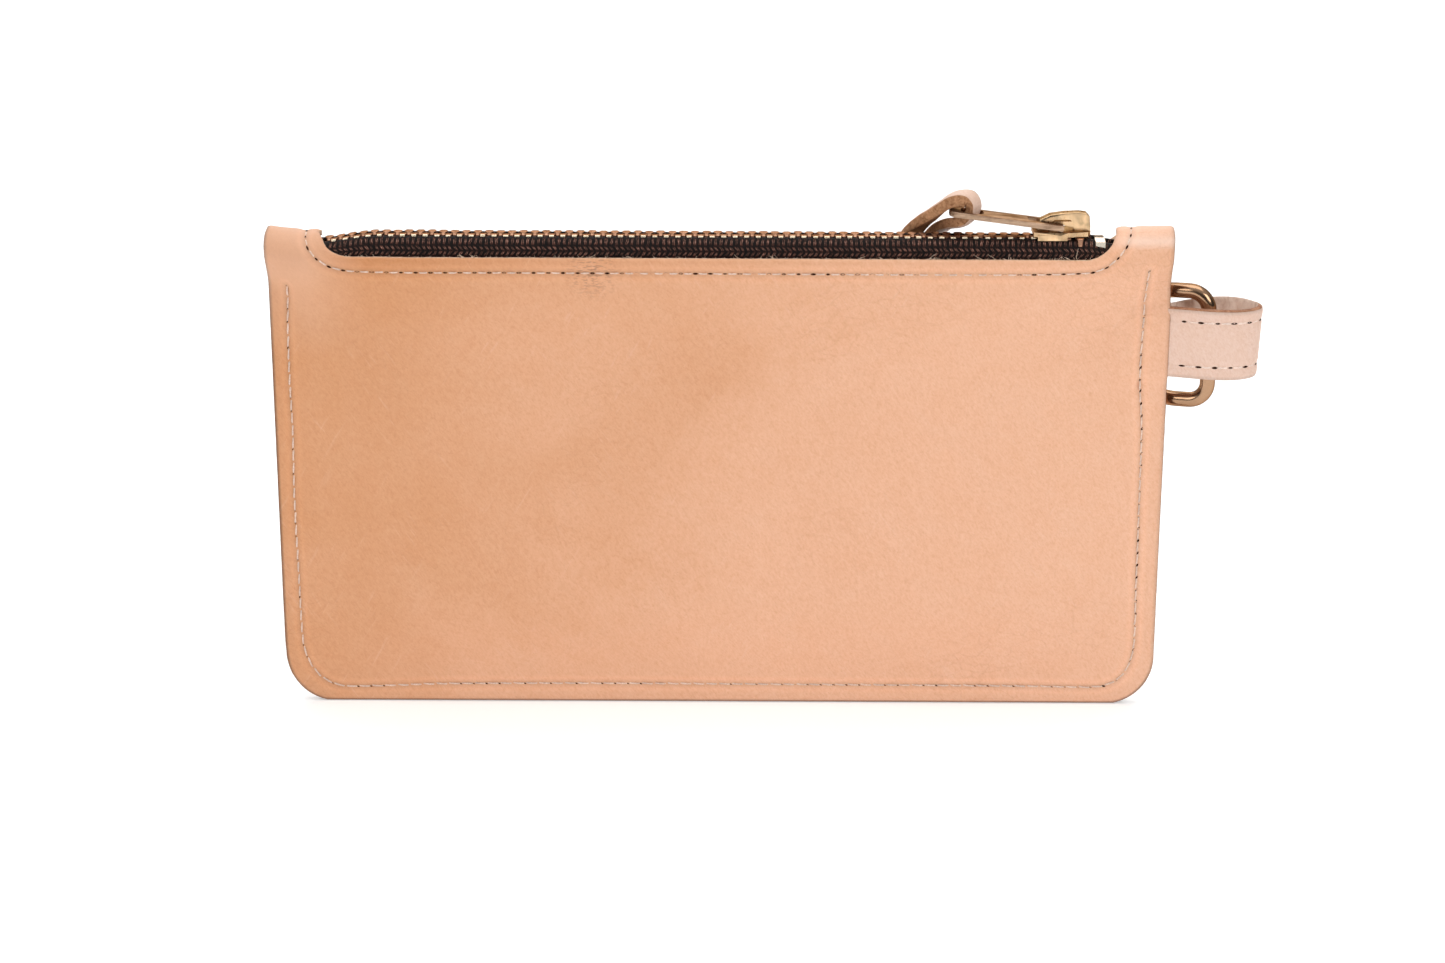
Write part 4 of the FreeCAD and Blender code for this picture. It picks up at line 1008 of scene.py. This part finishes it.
def shaped(node, name, body, material, move, bevel=0.0, segments=3, angle=35, rims=None):
    """A mesh that starts from a node's own surface, with every point moved by a rule, in mm, and its edges softened,
    their bevels in a second, darker material when one is given: painted shade.
    """
    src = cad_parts[node]
    me = src.data.copy()
    me.materials.clear()
    me.materials.append(material)
    o = link(bpy.data.objects.new(name, me))
    o.matrix_world = src.matrix_world
    for vert in me.vertices:
        vert.co = Vector(move(Vector(vert.co) * 1000.0)) * MM
    if bevel:
        m = o.modifiers.new("soft_edges", "BEVEL")
        m.width = bevel * MM
        m.segments = segments
        m.limit_method = "ANGLE"
        m.angle_limit = math.radians(angle)
        if rims:
            me.materials.append(rims)
            m.material = 1
    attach(o, body)
    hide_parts(node)
    return o


def stop_shape(drop, slide):
    """Crimped metal: sunk with the tape, its top pressed in and its feet spread."""
    def move(p):
        k = max(0.0, min(1.0, (p.z - 112.65) / 2.4))
        return (p.x + slide, p.y * (1.0 - 0.05 * k), p.z - drop - 0.12 * k * (abs(p.y) - 1.0))
    return move


for n, drop, slide in (("top_stop_front", 0.55, -0.45), ("top_stop_rear", 0.8, -0.3), ("bottom_stop", 2.35, 0.0)):
    shaped(n, n + "_piece", "root", stop_brass, stop_shape(drop, slide), 0.4, 4)
rise = math.radians(0.9)


def pull_shape(p):
    """The stamped pull: a little thicker at its middle, bowed, and hanging a degree higher."""
    tilt = math.radians(6.3)
    dx, dz = p.x - 77.0, p.z - 117.0
    along = -(dx * math.cos(tilt) - dz * math.sin(tilt))
    up = dx * math.sin(tilt) + dz * math.cos(tilt)
    up = up * 1.22 + 0.22 * math.sin(max(0.0, min(1.0, along / 25.4)) * math.pi)
    t2 = tilt + rise
    return (77.0 - along * math.cos(t2) + up * math.sin(t2), p.y * (1.0 - 0.004 * (along - 12.0)), 117.0 + along * math.sin(t2) + up * math.cos(t2))


shaped("pull_tab", "pull", "pull", pull_brass, pull_shape, 0.24, 4)


def slider_shape(p):
    """The nose narrows past the flanges."""
    k = max(0.0, min(1.0, (p.x - 78.0) / 3.5))
    y = p.y * (1.0 - 0.36 * k) if abs(p.y) > 1.0 else p.y
    return (p.x, y, p.z)


shaped("slider_body", "slider_casting", "slider", slider_brass, slider_shape, 0.26, 3, rims=bevel_shade_brass)


def crown_shape(p):
    """The crown's opening is lower and leans in at its right; the top is a little higher."""
    if 74.3 < p.x < 80.4 and p.z < 119.2:
        k = max(0.0, min(1.0, (p.z - 116.4) / 1.6))
        return (p.x - 0.9 * k if p.x > 79.0 else p.x, p.y, p.z - 0.25 * k * max(0.0, min(1.0, (p.x - 75.3) / 3.0)))
    return (p.x, p.y, p.z + 0.35 * max(0.0, min(1.0, (p.z - 117.6) / 1.2)))


shaped("slider_crown", "crown", "slider", slider_brass, crown_shape, 0.24, 3, 30, rims=bevel_shade_brass)


def spring_shape(p):
    """The locking strip, with a wedge under its fixed end."""
    return (p.x, p.y * 1.25, p.z - 1.15) if p.x > 79.0 and p.z < 118.0 else (p.x, p.y * 1.25, p.z)


shaped("lock_spring", "lock_strip", "lock", slider_brass, spring_shape, 0.05, 2)


# ---------------------------------------------------------------- side tab
def spline_points(points, count):
    """Natural interpolation through plan points by arc length, as even steps."""
    pts = np.array(points, float)
    dense = smooth_line([tuple(p) for p in pts], 0.25)
    seg = np.linalg.norm(np.diff(dense, axis=0), axis=1)
    run = np.concatenate([[0], np.cumsum(seg)])
    at = np.linspace(0, run[-1], count)
    return np.stack([np.interp(at, run, dense[:, 0]), np.interp(at, run, dense[:, 1])], axis=-1), run[-1]


TAB = [(91.5, -1.2), (98.5, -1.35), (103.2, -2.3), (106.0, -3.3), (110.0, -4.5), (114.0, -5.0), (118.0, -4.8), (121.5, -3.7), (123.8, -1.7),
       (124.6, 1.0), (123.9, 4.2), (121.7, 6.9), (118.3, 8.3), (114.4, 8.3), (110.0, 7.2), (106.0, 5.3), (103.2, 3.3), (98.5, 1.45), (91.5, 1.2)]
tab_low, tab_high, tab_thick = 82.0, 98.1, 1.3
tab_line, tab_length = spline_points(TAB, 181)


def tab_frame(i):
    a, b = tab_line[max(i - 1, 0)], tab_line[min(i + 1, len(tab_line) - 1)]
    d = (b - a) / np.linalg.norm(b - a)
    return tab_line[i], d, np.array([d[1], -d[0]])


def tab_mesh():
    grain = grain_leather("tab_grain", lin(222, 184, 164), lin(236, 206, 190), 0.0, True, False, 0.6, 0.7)
    edge = fibrous("tab_edge", lin(128, 80, 54), lin(186, 136, 104), 900.0, 0.7, (1, 1, 1), 0.00008)
    flesh = fibrous("tab_flesh", lin(206, 172, 152), lin(252, 232, 218), 380.0, 0.95, (1, 1, 0.5), 0.00016)
    n = len(tab_line)
    heights = [0, 0.16, 0.45, 0.9, 1.5, 2.1, 2.5, 2.9, 3.3, 4.2, 5.5, 7.0, 8.6, 10.2, 11.6, 12.5, 12.9, 13.3, 13.8, 14.6, 15.2, 15.65, 15.94, 16.1]
    v, f, m, ea, sa = [], [], [], [], []
    for i in range(n):
        p, d, out = tab_frame(i)
        s = i / (n - 1) * tab_length
        sag = 0.18 * noise.noise(Vector((s * 0.09, 2.0, 0.0)))
        for h in heights:
            e = min(h, 16.1 - h)
            z = tab_low + h + sag
            roundoff = 0.16 * math.exp(-(e / 0.35) ** 2)
            ds = min(abs(h - 2.9), abs(h - 13.4))
            press = 0.16 * math.exp(-(ds / 0.55) ** 2) - 0.04 * math.exp(-((ds - 1.4) / 0.7) ** 2)
            q = p - out * (roundoff + press)
            v.append((q[0], q[1], z))
            ea.append(e)
            sa.append(ds)
        for h in heights:
            e = min(h, 16.1 - h)
            z = tab_low + h + sag + 0.38 * float(ease((h - 14.0) / 2.1))
            q = p - out * (tab_thick - 0.16 * math.exp(-(e / 0.35) ** 2) + 0.05 * noise.noise(Vector((s * 0.8, h * 0.7, 7.0))))
            v.append((q[0], q[1], z))
            ea.append(4.0)
            sa.append(9.0)
    k = len(heights)
    for i in range(n - 1):
        a, b = i * 2 * k, (i + 1) * 2 * k
        for j in range(k - 1):
            f.append((a + j, b + j, b + j + 1, a + j + 1))
            m.append(0)
            f.append((a + k + j, a + k + j + 1, b + k + j + 1, b + k + j))
            m.append(2)
        f.append((a, a + k, b + k, b))
        m.append(1)
        f.append((a + k - 1, b + k - 1, b + 2 * k - 1, a + 2 * k - 1))
        m.append(1)
    for i in (0, n - 1):
        a = i * 2 * k
        for j in range(k - 1):
            f.append((a + j, a + j + 1, a + k + j + 1, a + k + j))
            m.append(1)
    return recalc(mesh_object("tab_strap", v, f, [grain, edge, flesh], m, attributes={"edge_mm": ea, "seam_mm": sa}))


def tab_lean(mesh):
    """The loop's outer end leans in towards the bottom."""
    for vert in mesh.vertices:
        x, z = vert.co.x * 1000, vert.co.z * 1000
        k = 1 - (z - tab_low) / 16.1
        vert.co.x -= MM * (0.25 + 0.6 * k) * float(ease((x - 106.0) / 18.0))


tab = tab_mesh()
tab_lean(tab.data)
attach(tab, "root")
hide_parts("side_tab")

tab_thread, tab_slots = ([], []), ([], [])
seg = np.linalg.norm(np.diff(tab_line, axis=0), axis=1)
tab_run = np.concatenate([[0], np.cumsum(seg)])
for z in (tab_low + 2.9, tab_low + 13.4):
    for s0, s1 in ((14.6, 34.1), (tab_length - 34.5, tab_length - 15.0)):
        count = int(round((s1 - s0) / 3.9))
        holes = []
        for i in range(count + 1):
            s = s0 + (s1 - s0) * i / count
            p = np.array([np.interp(s, tab_run, tab_line[:, 0]), np.interp(s, tab_run, tab_line[:, 1])])
            q = np.array([np.interp(s + 0.2, tab_run, tab_line[:, 0]), np.interp(s + 0.2, tab_run, tab_line[:, 1])])
            d = (q - p) / np.linalg.norm(q - p)
            out = np.array([d[1], -d[0], 0.0])
            holes.append((np.array([p[0], p[1], z]) - out * 0.13, np.array([d[0], d[1], 0.0]), out))
        stitch_row([(a[0], b[0], a[2] + b[2]) for a, b in zip(holes, holes[1:])], 0.70, 0.24, 0.13, tab_thread, jitter=0.03)
        slot_row(holes, tab_slots, 1.4, 0.6)
tab_stitches = recalc(mesh_object("tab_stitches", *tab_thread, [thread_pale]))
tab_lean(tab_stitches.data)
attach(tab_stitches, "root")
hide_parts("tab_thread")
tab_slot_piece = mesh_object("tab_stitch_slots", *tab_slots, [slot_dark_material])
tab_lean(tab_slot_piece.data)
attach(tab_slot_piece, "root")


# ---------------------------------------------------------------- D-ring
def ring_mesh():
    rh, rc, ra, wire = 22.6 / 2 + 1.75, 4.45, 7.4, 1.75
    pts = []

    def arc(cx, cz, r, a0, a1, n):
        for i in range(n):
            a = math.radians(a0 + (a1 - a0) * i / n)
            pts.append((cx + r * math.cos(a), cz + r * math.sin(a)))

    def seg(a, b, n):
        for i in range(n):
            pts.append((a[0] + (b[0] - a[0]) * i / n, a[1] + (b[1] - a[1]) * i / n))
    seg((0, -rh + rc), (0, rh - rc), 10)
    arc(rc, rh - rc, rc, 180, 90, 12)
    seg((rc, rh), (ra, rh), 3)
    arc(ra, 0, rh, 90, -90, 48)
    seg((ra, -rh), (rc, -rh), 3)
    arc(rc, -rh + rc, rc, 270, 180, 12)
    n, k = len(pts), 28
    v, f = [], []
    for i, (x, z) in enumerate(pts):
        a, b = pts[i - 1], pts[(i + 1) % n]
        d = Vector((b[0] - a[0], 0, b[1] - a[1])).normalized()
        side = Vector((d.z, 0, -d.x))
        for j in range(k):
            t = 2 * math.pi * j / k
            v.append(tuple(Vector((x, 0, z)) + side * (wire * math.cos(t)) + Vector((0, 1, 0)) * (wire * math.sin(t))))
    for i in range(n):
        for j in range(k):
            f.append((i * k + j, i * k + (j + 1) % k, ((i + 1) % n) * k + (j + 1) % k, ((i + 1) % n) * k + j))
    turn = Matrix.Translation(Vector((112.9, 1.5, 87.6))) @ Matrix.Rotation(math.radians(160.0), 4, "Z")
    v = [turn @ Vector(p) for p in v]
    v = [(p.x - 0.45 - (p.z - 87.6) * 0.034, p.y, p.z + 0.5 + (p.x - 112.9) * 0.034) for p in v]
    return recalc(mesh_object("ring", v, f, [ring_brass]))


ring = ring_mesh()
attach(ring, "ring")
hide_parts("d_ring")


# ---------------------------------------------------------------- loose fibres on the window's cut edge
def fibres():
    v, f = [], []
    spots = []
    for i in range(260):
        x = rng.uniform(-86, 86)
        spots.append((x, -9.85, rng.uniform(0.25, 0.8), 0.034))
    for middle in (77.6, 64.9, 47.5, 13.0, -31.0, -57.0):
        for i in range(5):
            spots.append((middle + rng.uniform(-1.6, 1.6), -9.8, rng.uniform(0.5, 1.3), 0.05))
    for x, s, ll in ((-20.0, 1, 2.2), (4.0, -1, 1.8), (31.0, 1, 2.6), (36.5, -1, 1.5), (59.0, -1, 2.8), (62.0, 1, 1.6), (80.5, 1, 2.4), (-58.0, -1, 1.4), (47.0, 1, 1.9)):
        spots.append((x, -9.75, ll, 0.05))
    for x, tt, ll, rad in spots:
        p = Vector(body_point(x, tt).tolist())
        n = Vector(body_normal(x, tt).tolist())
        p = p - n * rng.uniform(0.2, 1.0)
        d = Vector((rng.uniform(-1, 1), rng.uniform(-0.35, 0.1), rng.uniform(0.2, 1.0))).normalized()
        bend = Vector((rng.uniform(-1, 1), rng.uniform(-0.4, 0.0), rng.uniform(-0.6, 0.4)))
        rings, around = 6, 4
        first = len(v)
        for i in range(rings):
            u = i / (rings - 1)
            c = p + d * (ll * u) + bend * (ll * 0.35 * u * u)
            for j in range(around):
                a = 2 * math.pi * j / around
                v.append(tuple(c + Vector((math.cos(a), 0.3 * math.sin(a), math.sin(a))) * rad * (1 - 0.6 * u)))
        for i in range(rings - 1):
            for j in range(around):
                j2 = (j + 1) % around
                f.append((first + i * around + j, first + i * around + j2, first + (i + 1) * around + j2, first + (i + 1) * around + j))
    return mesh_object("edge_fibres", v, f, [fibrous("fibre", lin(206, 172, 144), lin(244, 226, 208), 900.0)])


fibre_piece = fibres()
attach(fibre_piece, "root")


# ---------------------------------------------------------------- floor and light
def floor():
    g = Graph("floor_paper")
    co = g.coords()
    base = g.ramp(g.noise(co, 3.0, 2.0), [(0.3, (0.80, 0.80, 0.80)), (0.7, (0.83, 0.83, 0.83))])
    material = g.surface(base, 0.9, None, Specular_IOR_Level=0.1, Emission_Color=(1.0, 1.0, 1.0, 1.0), Emission_Strength=0.36)
    size = 6000.0
    o = mesh_object("floor", [(-size, -size, 0), (size, -size, 0), (size, size, 0), (-size, size, 0)], [(0, 1, 2, 3)], [material], smooth=False)


floor()


def area(name, place, target, size, power, color=(1, 1, 1), height=None):
    data = bpy.data.lights.new(name, "AREA")
    data.energy = power
    data.color = color
    data.size = size
    if height:
        data.shape = "RECTANGLE"
        data.size_y = height
    o = link(bpy.data.objects.new(name, data))
    o.location = place
    o.rotation_euler = (Vector(target) - Vector(place)).to_track_quat("-Z", "Y").to_euler()
    return o


area("top_softbox", (0.0, 0.05, 1.15), (0, 0, 0.05), 1.3, 6.5, (1.0, 0.99, 0.97), 0.9)
area("right_softbox", (1.05, -1.15, 0.95), (0, 0, 0.06), 0.8, 8.0, (1.0, 0.99, 0.98))
area("left_softbox", (-1.05, -1.2, 0.85), (0, 0, 0.06), 0.8, 6.2, (1.0, 0.985, 0.96))
area("back_softbox", (0.0, 2.4, 1.6), (0, 1.2, 0.0), 2.6, 19.0, (1.0, 1.0, 1.0), 1.2)
world = bpy.data.worlds.new("studio")
world.use_nodes = True
wt = world.node_tree
where = wt.nodes.new("ShaderNodeTexCoord")
parts = wt.nodes.new("ShaderNodeSeparateXYZ")
wt.links.new(where.outputs["Generated"], parts.inputs[0])
high = wt.nodes.new("ShaderNodeMapRange")
high.interpolation_type = "SMOOTHSTEP"
wt.links.new(parts.outputs[2], high.inputs["Value"])
for key, value in (("From Min", 0.30), ("From Max", 0.85), ("To Min", 0.07), ("To Max", 0.62)):
    high.inputs[key].default_value = value
behind = wt.nodes.new("ShaderNodeMapRange")
behind.interpolation_type = "SMOOTHSTEP"
wt.links.new(parts.outputs[1], behind.inputs["Value"])
for key, value in (("From Min", -0.15), ("From Max", 0.55), ("To Min", 0.0), ("To Max", 0.55)):
    behind.inputs[key].default_value = value
both = wt.nodes.new("ShaderNodeMath")
both.operation = "MAXIMUM"
wt.links.new(high.outputs[0], both.inputs[0])
wt.links.new(behind.outputs[0], both.inputs[1])
world.node_tree.nodes["Background"].inputs[0].default_value = (1.0, 1.0, 1.0, 1.0)
wt.links.new(both.outputs[0], world.node_tree.nodes["Background"].inputs[1])
scene.world = world
